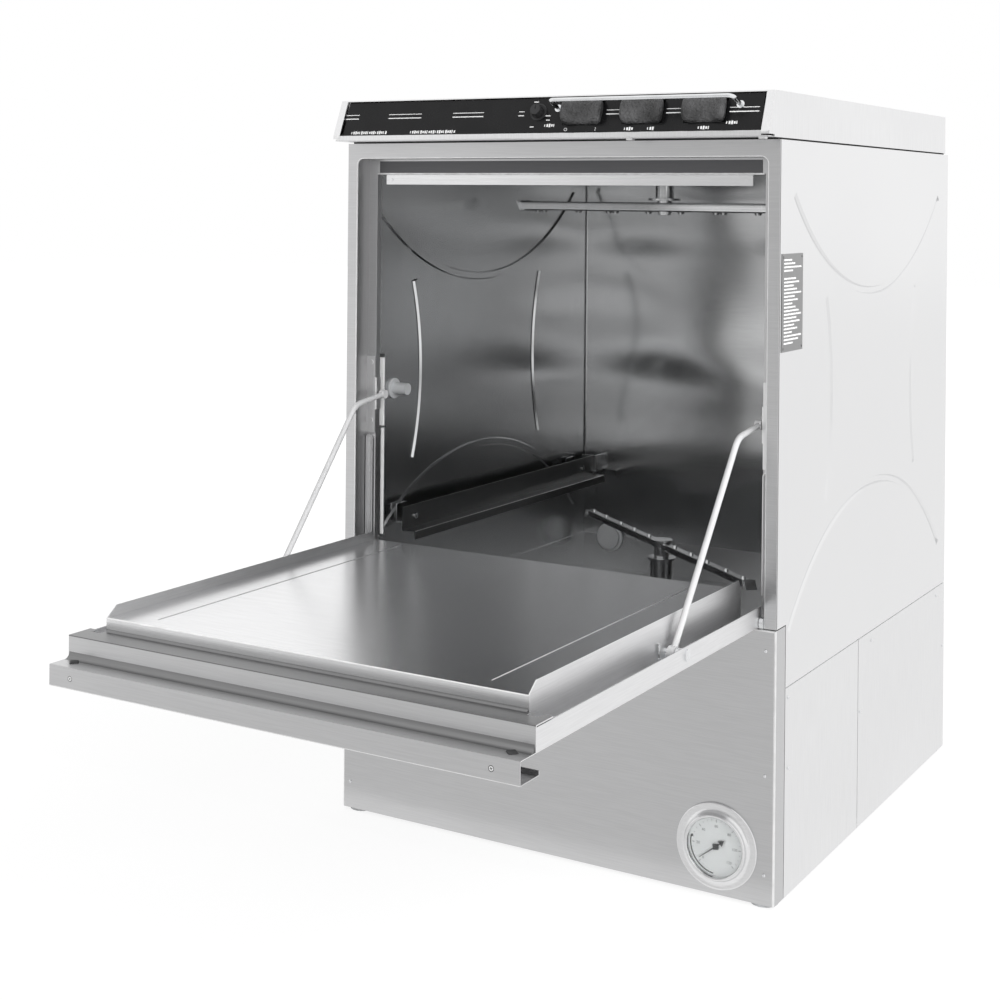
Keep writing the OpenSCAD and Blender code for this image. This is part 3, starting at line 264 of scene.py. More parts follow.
def sheet_steel(name, colour, roughness, grain, wave=0.0004, inside=None, bands=(1, 1, 1)):
    """Brushed sheet: grain lines along one axis and a slight waviness, drawn out into bands if asked."""
    r = Recipe(name, colour, metallic=1.0, roughness=roughness)
    stretch = [1 if axis == grain else GRAIN_STRETCH for axis in "XYZ"]
    lines = r.noise(r.place(stretch), 22, 3, 0.6)
    even = r.place()
    r.vary_colour(lines, 0.96, 1.03)
    if inside:
        # The side walls are painted lighter outside the body, as the light on them, and darker towards the
        # tub, as the shade inside it; the ribs' slopes in the tub are painted lighter as a highlight.
        # Place times facing is negative on the tub's side, and a rib's slopes face less squarely across.
        place, facing = (r.add("ShaderNodeSeparateXYZ") for _ in range(2))
        r.join(r.coord.outputs["Object"], place.inputs[0])
        r.join(r.coord.outputs["Normal"], facing.inputs[0])
        outward = r.add("ShaderNodeMath", operation="MULTIPLY")
        r.join(place.outputs["X"], outward.inputs[0])
        r.join(facing.outputs["X"], outward.inputs[1])
        square = r.add("ShaderNodeMath", operation="ABSOLUTE")
        r.join(facing.outputs["X"], square.inputs[0])
        flat = r.span(square.outputs[0], 0, 1, 0.93, 0.995)
        tub = r.blend(flat, shade(inside, 1.35), r.tone(lines, inside, 0.94, 1.04))
        outer = r.span(outward.outputs[0], 0, 1, -0.05, -0.01)
        r.join(r.blend(outer, tub, r.tone(lines, colour, 0.98, 1.01)), r.shader.inputs["Base Color"])
    r.vary_roughness(r.noise(even, 4, 2, 0.4), 0.92, 1.1)
    r.press(r.noise(r.place(bands), 2.3, 1, 0.4), wave)
    r.press(lines, GRAIN_DEPTH)
    return r.material


def polished(name, colour, roughness):
    """Polished bar: nearly even, with fine scuffs."""
    r = Recipe(name, colour, metallic=1.0, roughness=roughness)
    even = r.place()
    r.vary_colour(r.noise(even, 60, 3), 0.94, 1.03)
    r.vary_roughness(r.noise(even, 160, 4), 0.7, 1.6)
    r.press(r.noise(even, 420, 2), 0.00001)
    return r.material


def moulded(name, colour, roughness, grain_size=900, relief=0.00008, dark=0.85, light=1.2, ior=None):
    """Moulded plastic, rubber or paint with a fine pebbled surface."""
    r = Recipe(name, colour, roughness=roughness, ior=ior)
    even = r.place()
    r.vary_colour(r.noise(even, 35, 4), dark, light)
    r.vary_roughness(r.noise(even, 70, 3), 0.85, 1.2)
    r.press(r.noise(even, grain_size, 2), relief)
    return r.material


def clear_glass(name):
    """Clear pane with a faint unevenness."""
    r = Recipe(name, (0.97, 0.985, 0.99), roughness=0.02, ior=1.45)
    r.shader.inputs["Transmission Weight"].default_value = 1.0
    even = r.place()
    r.vary_colour(r.noise(even, 20, 2), 0.985, 1.0)
    r.vary_roughness(r.noise(even, 90, 3), 0.5, 2.0)
    r.press(r.noise(even, 30, 1), 0.00001)
    return r.material


FINISHES = {}


def make_finishes():
    look = settings()[0]
    outer, panel, tub = tuple(look.outer), tuple(look.panel), tuple(look.tub)
    FINISHES.update({
        "outer_steel": sheet_steel("outer steel", outer, 0.3, "Z"),
        "wall_steel": sheet_steel("side wall steel", outer, 0.235, "Z", wave=0.0025, inside=tub),
        "panel_steel": sheet_steel("front steel", panel, 0.3, "X"),
        # The door's pan and the flanks are the front steel painted lighter, as the light that falls on them.
        "liner_steel": sheet_steel("door pan steel", shade(panel, 1.42), 0.235, "X", wave=0.0025),
        "flank_steel": sheet_steel("pan side steel", shade(panel, 1.42), 0.45, "Y", wave=0.0002),
        # The ledge and the recess are the front steel painted darker, as shade.
        "ledge_steel": sheet_steel("ledge steel", shade(panel, 0.4), 0.32, "X", wave=0.0002),
        "recess_steel": sheet_steel("recess steel", shade(panel, 0.8), 0.34, "Z", wave=0.0002),
        "tub_steel": sheet_steel("tub steel", tub, 0.22, "Y", wave=0.002),
        "back_steel": sheet_steel("tub back steel", shade(tub, 0.985), 0.15, "X", wave=0.034,
                                  bands=(0.8, 1, 2.2)),
        # The rack rails are the tub steel painted darker, as shade.
        "rail_steel": sheet_steel("rail steel", shade(tub, 0.38), 0.3, "Y", wave=0.0002),
        "plate_steel": sheet_steel("data plate steel", shade(outer, 0.42), 0.35, "Z", wave=0.0002),
        # The gauge's dish and the splash strip are the front steel painted lighter, as the light that falls
        # on them.
        "gauge_steel": sheet_steel("gauge case steel", shade(panel, 1.35), 0.23, "X", wave=0.0001),
        # A near-white finish for the rounded folds: a painted highlight along the edges.
        "edge_steel": polished("painted edge highlight", (0.97, 0.97, 0.97), 0.42),
        # A dark sheet that stands for the shade at the back of the recess.
        "shaded_steel": sheet_steel("header shade steel", (0.13, 0.13, 0.135), 0.4, "X"),
        "bright_steel": polished("bright steel", (0.84, 0.85, 0.86), 0.14),
        "pipe_steel": sheet_steel("pipe steel", (0.78, 0.785, 0.79), 0.24, "Z", wave=0.0001),
        "fascia_black": moulded("control strip", tuple(look.strip), 0.25, 300, 0.00001, ior=1.33),
        "black_plastic": moulded("black moulding", (0.02, 0.02, 0.021), 0.5, 1400, 0.0002),
        "stippled": moulded("stippled moulding", (0.04, 0.04, 0.041), 0.36, 330, 0.003, 0.5, 2.0),
        "white_rod": moulded("white coated bar", (0.56, 0.56, 0.565), 0.3, 300, 0.00002, 0.96, 1.03),
        # The facings are white plastic, made brighter than the white bars as painted light on them.
        "white_facing": moulded("white facing", (0.97, 0.97, 0.97), 0.3, 300, 0.00002, 0.96, 1.02),
        "grey_plastic": moulded("grey moulding", (0.5, 0.51, 0.52), 0.45, dark=0.93, light=1.06),
        "rubber_black": moulded("black rubber", (0.03, 0.03, 0.03), 0.7),
        "dark_frame": moulded("dark frame paint", (0.16, 0.16, 0.165), 0.5, 500, 0.0001),
        "pump_grey": moulded("pump paint", (0.2, 0.215, 0.235), 0.45, 500, 0.0001),
        "rotor_steel": sheet_steel("turned steel", (0.5, 0.51, 0.53), 0.3, "Y", wave=0.0001),
        "valve_blue": moulded("blue moulding", (0.08, 0.15, 0.28), 0.4),
        "valve_brass": polished("brass", (0.7, 0.52, 0.24), 0.28),
        "heater_metal": sheet_steel("heater sheath", (0.28, 0.27, 0.26), 0.4, "Y", wave=0.0001),
        "dial_white": moulded("dial card", (0.88, 0.88, 0.87), 0.5, 400, 0.00001, 0.97, 1.02),
        "lens_clear": clear_glass("gauge glass"),
        "pointer_black": moulded("pointer paint", (0.015, 0.015, 0.015), 0.4, 600, 0.00002),
        "marks": moulded("printed marks", tuple(look.marks), 0.45, 500, 0.00001, 0.95, 1.04),
        "dial_marks": moulded("dial print", (0.22, 0.22, 0.22), 0.5, 500, 0.00001, 0.9, 1.1),
    })


# ---- building helpers ----

def finished(name, bm, body, slot, replaces=(), finish=None, sharp=32, weighted=True, matrix=None, more=()):
    """Turns a bmesh in place into a piece that rides on its body and takes its slot's finish, or another.

    Edges under sharp degrees are shaded smooth. Faces with material index 1 and up take the finishes in more.
    """
    if matrix:
        bmesh.ops.transform(bm, matrix=matrix, verts=bm.verts)
    for edge in bm.edges:
        edge.smooth = len(edge.link_faces) == 2 and edge.calc_face_angle(0) < math.radians(sharp)
    for face in bm.faces:
        face.smooth = True
    mesh = bpy.data.meshes.new(name)
    bm.to_mesh(mesh)
    bm.free()
    piece = bpy.data.objects.new(name, mesh)
    bpy.context.scene.collection.objects.link(piece)
    for each in (finish or slot, *more):
        mesh.materials.append(FINISHES[each])
    if weighted:
        even = piece.modifiers.new("Even shading", "WEIGHTED_NORMAL")
        even.keep_sharp = True
    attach(piece, body)
    if replaces:
        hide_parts(*replaces)
    return piece


def merged(node):
    """A merged copy of a CAD node's mesh, with its flat faces whole again."""
    bm = bmesh.new()
    bm.from_mesh(frame["nodes"][node].data)
    bmesh.ops.remove_doubles(bm, verts=bm.verts, dist=WELD)
    bmesh.ops.recalc_face_normals(bm, faces=bm.faces)
    bmesh.ops.dissolve_limit(bm, angle_limit=math.radians(FLAT), verts=bm.verts, edges=bm.edges)
    return bm


def looks_across(face):
    """Whether a face looks to the left or the right."""
    return abs(face.normal.x) > 0.9


def breadth(face, edge):
    """How far a face reaches away from one of its edges."""
    return face.calc_area() / max(edge.calc_length(), 1e-6)


def corners(bm, over=CORNER):
    """The convex edges that turn by more than over degrees."""
    return [e for e in bm.edges if len(e.link_faces) == 2 and e.is_convex
            and e.calc_face_angle(0) > math.radians(over)]


def bevelled(bm, edges, width, segments):
    """Rounds the edges and returns the faces that this makes."""
    return bmesh.ops.bevel(bm, geom=edges, offset=width, offset_type="OFFSET", affect="EDGES",
                           segments=segments, profile=0.5, material=-1, clamp_overlap=True)["faces"]


def soften(bm, fold, nip, broad=BROAD):
    """Rounds the long folds between broad faces and takes the sharpness off the other corners."""
    folds = [e for e in corners(bm) if e.calc_length() > SHORTEST_FOLD
             and min(breadth(f, e) for f in e.link_faces) > broad]
    if fold and folds:
        # The folds' rounds take finish 1, the near-white edge steel, as a painted highlight along each fold.
        for face in bevelled(bm, folds, fold, 4):
            face.material_index = 1
    rest = [e for e in corners(bm) if e.calc_length() > 4 * nip]
    if nip and rest:
        bevelled(bm, rest, nip, 1)


def softened(node, body="cabinet", fold=None, nip=None, finish=None, broad=BROAD, others=(), where=None):
    """Softens a CAD node. The other finishes are numbered from 1, and where() gives a face's number or 0."""
    sizes = settings()[1]
    bm = merged(node)
    for face in bm.faces:
        pick = where(face) if where else 0
        face.material_index = pick + 1 if pick else 0
    soften(bm, sizes.fold if fold is None else fold, sizes.nip if nip is None else nip, broad)
    more = ("edge_steel", *others) if fold != 0 else ()
    return finished(node + "_finished", bm, body, slot_of(node), (node,), finish, more=more)


def slot_of(node):
    """The material slot that a CAD node has in the part's record."""
    return next(s["material_slot"] for s in frame["record"]["subparts"] if s["node"] == node)


def gather(bm, part, matrix=None):
    """Adds one shape to another, in its place."""
    if matrix:
        bmesh.ops.transform(part, matrix=matrix, verts=part.verts)
    mesh = bpy.data.meshes.new("part")
    part.to_mesh(mesh)
    part.free()
    bm.from_mesh(mesh)
    bpy.data.meshes.remove(mesh)


def lathe(profile, steps=64, arc=360.0):
    """Turns (radius, height) points round local z, right round or through an arc in degrees."""
    bm = bmesh.new()
    verts = [bm.verts.new((r, 0, h)) for r, h in profile]
    edges = [bm.edges.new(pair) for pair in zip(verts, verts[1:])]
    bmesh.ops.spin(bm, geom=verts + edges, cent=(0, 0, 0), axis=(0, 0, 1), angle=math.radians(arc),
                   steps=steps, use_merge=arc == 360.0)
    bmesh.ops.remove_doubles(bm, verts=bm.verts, dist=1e-3)
    bmesh.ops.recalc_face_normals(bm, faces=bm.faces)
    return bm


def loft(outline, stations):
    """Pulls an outline in local x and y through stations of (height, x scale, y scale).

    The outline's face stays at every station, inside the shape.
    """
    bm = bmesh.new()
    height, wide, tall = stations[0]
    face = bm.faces.new([bm.verts.new((x * wide, y * tall, height)) for x, y in outline])
    for next_height, next_wide, next_tall in stations[1:]:
        made = bmesh.ops.extrude_face_region(bm, geom=[face])["geom"]
        verts = [v for v in made if isinstance(v, bmesh.types.BMVert)]
        face = next(f for f in made if isinstance(f, bmesh.types.BMFace))
        bmesh.ops.scale(bm, vec=(next_wide / wide, next_tall / tall, 1), verts=verts)
        bmesh.ops.translate(bm, vec=(0, 0, next_height - height), verts=verts)
        height, wide, tall = next_height, next_wide, next_tall
    bmesh.ops.recalc_face_normals(bm, faces=bm.faces)
    return bm


def prism(outline, low, high):
    """An outline in local x and y, drawn up from low to high."""
    return loft(outline, ((low, 1, 1), (high, 1, 1)))


def bar(x0, x1, y0, y1, low, high):
    """A thin flat bar from x0 to x1 and y0 to y1."""
    return prism(((x0, y0), (x1, y0), (x1, y1), (x0, y1)), low, high)


def along_x(outline, x0, x1):
    """A strip whose section is given in y and z, drawn from x0 to x1."""
    bm = prism(outline, 0, x1 - x0)
    lying = turned(90, "Z") @ turned(90, "X")
    bmesh.ops.transform(bm, matrix=Matrix.Translation((x0, 0, 0)) @ lying, verts=bm.verts)
    return bm


def rounded(bm, width, segments, over=CORNER):
    """Rounds the corners that are sharper than over degrees."""
    bevelled(bm, corners(bm, over), width, segments)
    return bm


def lettering(text, size, depth):
    """Letters as a mesh, centred on local zero, standing depth high."""
    curve = bpy.data.curves.new("letters", "FONT")
    curve.body, curve.size, curve.extrude = text, size, depth / 2
    curve.align_x, curve.align_y, curve.resolution_u = "CENTER", "CENTER", 3
    thing = bpy.data.objects.new("letters", curve)
    mesh = bpy.data.meshes.new_from_object(thing)
    bm = bmesh.new()
    bm.from_mesh(mesh)
    bpy.data.objects.remove(thing)
    bpy.data.curves.remove(curve)
    bpy.data.meshes.remove(mesh)
    bmesh.ops.translate(bm, vec=(0, 0, depth / 2), verts=bm.verts)
    return bm


def pan_head():
    """Pan-head screw standing on local z = 0. Its cross is sunk under the top, whose own faces stay."""
    radius = 2.2
    height = 1.6
    bm = lathe(((0, -0.3), (radius, -0.3), (radius, 0.35), (radius * 0.93, height * 0.6),
                (radius * 0.72, height * 0.9), (radius * 0.62, height), (0, height)), 24)
    # The recess: half the width of its arms, half their length and its depth.
    half = radius * 0.15
    reach = radius * 0.6
    depth = height * 0.55
    for axis in ((1, 0, 0), (0, 1, 0)):
        for side in (-half, half):
            bmesh.ops.bisect_plane(bm, geom=bm.verts[:] + bm.edges[:] + bm.faces[:],
                                   plane_co=Vector(axis) * side, plane_no=axis, dist=1e-5)
    cross = []
    for face in bm.faces:
        middle = face.calc_center_median()
        on_top = middle.z > height - 0.02 and middle.xy.length < reach
        if on_top and min(abs(middle.x), abs(middle.y)) < half:
            cross.append(face)
    sunk = bmesh.ops.extrude_face_region(bm, geom=cross)["geom"]
    verts = [v for v in sunk if isinstance(v, bmesh.types.BMVert)]
    bmesh.ops.translate(bm, vec=(0, 0, -depth), verts=verts)
    return bm


class WASHER_OT_finishes(bpy.types.Operator):
    """Makes the finishes and gives each solid its own"""
    bl_idname = "washer.finishes"
    bl_label = "Finishes"

    def execute(self, context):
        make_finishes()
        for name, node in frame["nodes"].items():
            node.data.materials.clear()
            node.data.materials.append(FINISHES[slot_of(name)])
        return {"FINISHED"}


class WASHER_OT_sheets(bpy.types.Operator):
    """Rounds the folds and edges of the cabinet's sheets"""
    bl_idname = "washer.sheets"
    bl_label = "Cabinet sheets"

    def execute(self, context):
        for node in ("front_panel", "right_front_panel", "right_rear_panel", "left_front_panel",
                     "left_rear_panel", "back_panel", "top_cover", "console_shell", "jamb_brackets",
                     "base_frame", "control_box"):
            softened(node)
        softened("splash_strip", finish="gauge_steel")
        self.frame_opening()
        # The rails take the dark rail steel, painted shade.
        softened("rack_rails", fold=0.0008, finish="rail_steel", broad=0.006)
        softened("rail_brackets", fold=0.0008, finish="pipe_steel", broad=0.006)
        softened("data_plate", finish="plate_steel")
        softened("tub_back_wall", finish="back_steel")
        for node in ("tub_left_wall", "tub_right_wall"):
            softened(node, nip=0, finish="wall_steel")
        self.header_shade_plate()
        self.guide_facings()
        self.corner_beads()
        self.header_lip()
        return {"FINISHED"}

    def header_shade_plate(self):
        """Dark sheet at the back of the recess, under the frame's upper edge: painted shade where the recess
        lies in shadow.
        """
        half, front, back, low, high = 268, 26.2, 26.8, 834, 849.5
        plate = along_x(((front, low), (front, high), (back, high), (back, low)), -half, half)
        finished("header_shade_plate", plate, "cabinet", "tub_steel", finish="shaded_steel", matrix=BODY)

    def header_lip(self):
        """Folded lip under the dark shade plate, painted bright as a highlight."""
        half = 271
        lip = along_x(((24.6, 832.2), (26.9, 832.2), (26.9, 834.2), (25.2, 834.2)), -half, half)
        finished("header_lip", lip, "cabinet", "tub_steel", finish="edge_steel", matrix=BODY)

    def guide_facings(self):
        """White facings, a wide one over a narrow one, on the guide angles beside the opening; white plastic
        made brighter than the white bars, as painted light.
        """
        inner, front, sheet, edge = 281, 60, 1, 0.3
        trims = bmesh.new()
        for side in (-1, 1):
            for wide, low, high in ((8, 497, 588), (5, 352, 494)):
                outline = ((inner, low), (inner + wide, low), (inner + wide, high), (inner, high))
                trim = rounded(prism([(side * x, z) for x, z in outline], 0, sheet), edge, 1)
                gather(trims, trim, Matrix.Translation((0, front, 0)) @ turned(90, "X"))
        finished("guide_facings", trims, "cabinet", "white_rod", finish="white_facing", matrix=BODY)

    def frame_opening(self):
        """The frame, with a rolled edge round its opening that takes a painted highlight, and sides to the
        recess behind it that are painted darker as shade.
        """
        sizes = settings()[1]
        # Depths in metres behind the face, between which the recess's sides lie.
        near, far = 0.002, 0.0262
        bm = merged("front_frame")
        for face in bm.faces:
            middle = face.calc_center_median()
            side = near < middle.y - FRONT < far and looks_across(face)
            face.material_index = 2 if side else 0
        rim = [e for e in corners(bm) if all(self.on_rim(v.co) for v in e.verts)]
        for face in bevelled(bm, rim, 1.2 * sizes.fold, 5):
            face.material_index = 1
        soften(bm, 0, sizes.nip)
        finished("frame_finished", bm, "cabinet", slot_of("front_frame"), ("front_frame",),
                 more=("edge_steel", "recess_steel"))

    def on_rim(self, place):
        """Whether a point lies on the frame's face, and inside the frame's outer edges."""
        return abs(place.y - FRONT) < 1e-4 and abs(place.x) < 0.29 and place.z < 0.86

    def corner_beads(self):
        """Welded beads up the tub's rear corners, just clear of both sheets."""
        section = ((0, 0), (2.6, 0), (1.5, -0.7), (0.7, -1.5), (0, -2.6))
        inset, low, high = 1.6, 330, 850
        beads = bmesh.new()
        for side in (-1, 1):
            bead = prism([(-side * x, y) for x, y in section], low, high)
            gather(beads, bead, Matrix.Translation((side * (BODY_HALF - inset), BODY_DEPTH - inset, 0)))
        finished("corner_beads", beads, "cabinet", "tub_steel", matrix=BODY)


class WASHER_OT_fittings(bpy.types.Operator):
    """Rounds the edges of the pipes, arms and machinery"""
    bl_idname = "washer.fittings"
    bl_label = "Pipes and machinery"

    def execute(self, context):
        for node in ("tub_fittings", "levelling_feet", "overflow_pipe", "pump_volute", "pump_motor",
                     "drain_valve", "fill_valve", "dosing_pumps", "cable_gland", "lower_manifold",
                     "upper_manifold", "timer_body", "switch_bodies"):
            softened(node, fold=0)
        softened("lower_arm", "lower_wash_arm", fold=0)
        softened("upper_arm", "upper_wash_arm", fold=0)
        softened("timer_knob", "timer_dial", fold=0)
        softened("sump_strainer", "strainer_basket", fold=0)
        return {"FINISHED"}


class WASHER_OT_door(bpy.types.Operator):
    """Rounds the door's sheets and adds two coves and the handle's screws"""
    bl_idname = "washer.door"
    bl_label = "Door"

    def execute(self, context):
        # The skin's sides and the pan's flanks are painted lighter, as the light on them; the handle's top
        # and the pan's ledge are painted darker, as shade.
        softened("door_skin", "door", fold=0.0018, others=("flank_steel",), where=looks_across)
        softened("door_handle", "door", fold=0.0012, others=("recess_steel",), where=self.looks_up)
        softened("door_liner", "door", fold=0.0016, finish="liner_steel",
                 others=("flank_steel", "ledge_steel"), where=self.pan_face)
        softened("door_catches", "door", fold=0)
        self.coves()
        self.handle_screws()
        return {"FINISHED"}

    def looks_up(self, face):
        """Whether a face looks up with the door open."""
        return face.normal.z > 0.9

    def pan_face(self, face):
        """1 for the pan's flanks, 2 for its ledge and 0 for the rest."""
        if looks_across(face):
            return 1
        return 2 if face.calc_center_median().z < LEDGE_BELOW else 0

    def coves(self):
        """Concave fold where the skin's end meets the handle, and one where the pan's end meets its ledge."""
        # The part of a cove's section that lies in the sheets behind it.
        sunk = 0.6
        below = 0.3
        # Height of the foot, place of the wall, radius and half the length of each.
        for name, foot, wall, radius, reach in (("skin_cove", -3.8, -516, 7, 279),
                                                ("ledge_cove", 20.2, -486, 3, 255)):
            start = wall - radius
            outline = []
            for angle in range(0, 91, 15):
                across = radius * math.sin(math.radians(angle))
                down = radius * math.cos(math.radians(angle))
                outline.append((start + across, foot + radius - down))
            outline += [(wall + sunk, foot + radius), (wall + sunk, foot - below), (start, foot - below)]
            strip = along_x(outline, -reach, reach)
            # The coves take the dark ledge steel, painted shade in the folds.
            finished(name, strip, "door", "panel_steel", finish="ledge_steel", matrix=HINGE, sharp=40)

    def handle_screws(self):
        """Flush screws near the ends of the handle's front, each a thin disc with a ring and a cross."""
        radius, rim, proud = 2.3, 2.9, 0.02
        across, front, height = 251, -543, -15
        heads, slots = bmesh.new(), bmesh.new()
        for side in (-1, 1):
            place = Matrix.Translation((side * across, front, height)) @ turned(90, "X")
            gather(heads, lathe(((0, 0), (0, proud), (radius, proud), (radius, 0))), place)
            gather(slots, lathe(((radius, 0), (radius, proud), (rim, proud), (rim, 0), (radius, 0))), place)
            for angle in (20, 110):
                gather(slots, bar(-1.4, 1.4, -0.3, 0.3, 0, 0.03), place @ turned(angle, "Z"))
        finished("handle_screws", heads, "door", "panel_steel", finish="edge_steel", weighted=False,
                 matrix=HINGE)
        # The cross is black as painted shade in its recess, and the ring a dark gap round the head.
        finished("handle_screw_slots", slots, "door", "black_plastic", weighted=False, matrix=HINGE)


class WASHER_OT_console(bpy.types.Operator):
    """Makes the rockers, the printed marks and the lip's clips"""
    bl_idname = "washer.console"
    bl_label = "Console"

    def execute(self, context):
        for body, node, x in ROCKERS:
            self.rocker(body, node, x)
        self.prints()
        self.clips()
        return {"FINISHED"}

    def rocker(self, body, node, x):
        """Bulky paddle: a hollow along its length and rounded across."""
        # Half of its profile, from the foot over the raised end to the middle of the hollow.
        half = ((24, -1.5), (24.2, 4), (26.3, 6), (27, 9.3), (25.8, 12.6), (22.6, 14.2), (18.4, 13.2),
                (13, 10.4), (7, 8.2), (0, 7.4))
        outline = [(-px, py) for px, py in half] + [(px, py) for px, py in half[-2::-1]]
        # Place across the paddle, and how long and how thick the profile is there.
        stations = ((-16, 0.8, 0.3), (-14.6, 0.88, 0.55), (-12, 0.95, 0.78), (-8, 0.99, 0.93), (-3, 1, 1),
                    (4, 1, 1), (9, 0.99, 0.93), (12.5, 0.96, 0.78), (14.8, 0.9, 0.55), (16, 0.84, 0.3))
        bm = rounded(loft(outline, stations), 0.8, 2, 30)
        place = STRIP @ Matrix.Translation((x, ROCKER_HEIGHT, 0)) @ turned(90, "X")
        finished(node + "_paddle", bm, body, "black_plastic", (node,), "stippled", 50, matrix=place)

    def prints(self):
        """Plain lines, legends, switch signs and timer marks, given along the strip and up it."""
        high = settings()[1].print_height / MM
        bm = bmesh.new()
        # Pairs of lines: where each pair starts and ends.
        for x0, x1 in ((-289, -268), (-222, -172), (-125, -80), (-30, -22), (90, 111), (168, 190),
                       (247, 283)):
            for v, thick in ((28.6, 0.8), (23.4, 1.2)):
                gather(bm, bar(x0, x1, v - thick / 2, v + thick / 2, 0, high))
        # Legends are rows of small strokes: start, height and number of strokes.
        pitch = 3.1
        for x0, v, count in ((-275, 3.9, 18), (-184, 3.9, 22), (9, 10, 5), (117, 4.2, 4), (147, 4.2, 3),
                             (211, 4.2, 5), (245, 10, 5)):
            for i in range(count):
                tall = 1.5 + 0.35 * ((i * 7) % 3)
                wide = 2.2 if i % 4 else 1.2
                x = x0 + i * pitch
                gather(bm, bar(x, x + wide, v - tall, v + tall, 0, high))
        # The power switch's off and on signs.
        sign_size, sign_height = 6, 4.2
        for sign, x in (("O", 39), ("I", 79)):
            gather(bm, lettering(sign, sign_size, high), Matrix.Translation((x, sign_height, 0)))
        # The timer's marks: off at the top, then round to the right and the bottom.
        half = 0.6
        for x0, x1, v in ((-11, -4.5, 41), (7.5, 15, 22.6), (10, 15, 17), (-11, -5.5, 8.4)):
            gather(bm, bar(x0, x1, v - half, v + half, 0, high))
        finished("console_prints", bm, "cabinet", "dial_white", finish="marks", weighted=False, matrix=STRIP)

    def clips(self):
        """Small clips on the console's lower lip."""
        half, front, back, low, high = 4, -29, -21, 871.5, 874.2
        bm = bmesh.new()
        for x in (124, 289):
            gather(bm, rounded(bar(x - half, x + half, front, back, low, high), 0.5, 2))
        finished("lip_clips", bm, "cabinet", "outer_steel", matrix=BODY)


class WASHER_OT_gauge(bpy.types.Operator):
    """Makes the gauge's dish, dial, marks and pointer"""
    bl_idname = "washer.gauge"
    bl_label = "Gauge"

    def execute(self, context):
        self.case()
        self.marks()
        self.dark_arc()
        self.pointer()
        return {"FINISHED"}

    def case(self):
        """Flanged dish with a rolled bezel, and the card in it."""
        # From the spigot at the back out to the flange, over the bezel and down its inside.
        dish = lathe(((0, -50), (7, -50), (7, -35), (35, -35), (35, 0), (50, 0), (50, 1.3), (49.4, 2.3),
                      (48.4, 2.6), (46.8, 2.2), (44.5, 1.7), (42, 2), (40, 3), (38.6, 4.6), (37.9, 6.6),
                      (37.5, 8.2), (36.6, 8.9), (35.4, 8.9), (34.5, 8.3), (34, 7.4), (34, -33), (0, -33)), 96)
        finished("gauge_dish", dish, "cabinet", "outer_steel", ("gauge_case",), "gauge_steel", 50,
                 matrix=GAUGE)
        card = lathe(((2.1, 0), (33.9, 0), (33.9, 1), (2.1, 1), (2.1, 0)), 96)
        finished("gauge_card", card, "cabinet", "dial_white", ("gauge_dial",), matrix=GAUGE)

    def marks(self):
        """Ticks round the card, with a number at every fourth."""
        card, outer, ring, number_size = 1, 30.4, 22.6, 4.6
        high = card + settings()[1].print_height / MM
        bm = bmesh.new()
        for i in range(25):
            angle = FIRST_MARK - i * MARK_STEP
            numbered = i % 4 == 0
            inner, half = (27.2, 0.3) if numbered else (28.6, 0.16)
            gather(bm, bar(inner, outer, -half, half, card, high), turned(angle, "Z"))
            if numbered:
                turn = math.radians(angle)
                number = lettering(str(i * 5), number_size, high - card)
                place = Matrix.Translation((ring * math.cos(turn), ring * math.sin(turn), card))
                gather(bm, number, place)
        finished("dial_marks", bm, "cabinet", "dial_white", finish="dial_marks", weighted=False, matrix=GAUGE)

    def dark_arc(self):
        """Dark arc along the card's left edge, with a round end."""
        start, sweep = 168, 96.0
        dark = bmesh.new()
        arc_band = lathe(((31.2, 1), (32.4, 1), (32.4, 1.5), (31.2, 1.5), (31.2, 1)), 24, sweep)
        gather(dark, arc_band, turned(start, "Z"))
        end = lathe(((0, 1), (1.5, 1), (1.5, 1.6), (0, 1.6)), 20)
        gather(dark, end, turned(start - 1, "Z") @ Matrix.Translation((31, 0, 0)))
        finished("dial_dark_arc", dark, "cabinet", "pointer_black", matrix=GAUGE)

    def pointer(self):
        """Thin hand with a square hub and a triangular tail opposite it."""
        # Degrees that the hand and its hub stand turned at rest.
        rest = 218
        hub_turn = 8
        bm = bmesh.new()
        gather(bm, lathe(((0, -8), (2, -8), (2, 2.2), (0, 2.2)), 32))
        gather(bm, rounded(bar(-3.2, 3.2, -3.2, 3.2, 2, 4.2), 0.3, 1), turned(hub_turn, "Z"))
        hand = prism(((-11.5, 0.45), (-11.5, -0.45), (0, -0.8), (26, -0.28), (26, 0.28), (0, 0.8)), 2.4, 3.2)
        gather(bm, hand, turned(rest, "Z"))
        tail = prism(((6.6, 3.6), (6.6, -3.6), (13.4, 0)), 2.4, 3.3)
        gather(bm, tail, turned(rest - 180, "Z"))
        finished("gauge_hand", bm, "thermometer_pointer", "pointer_black", ("gauge_needle",), matrix=GAUGE)


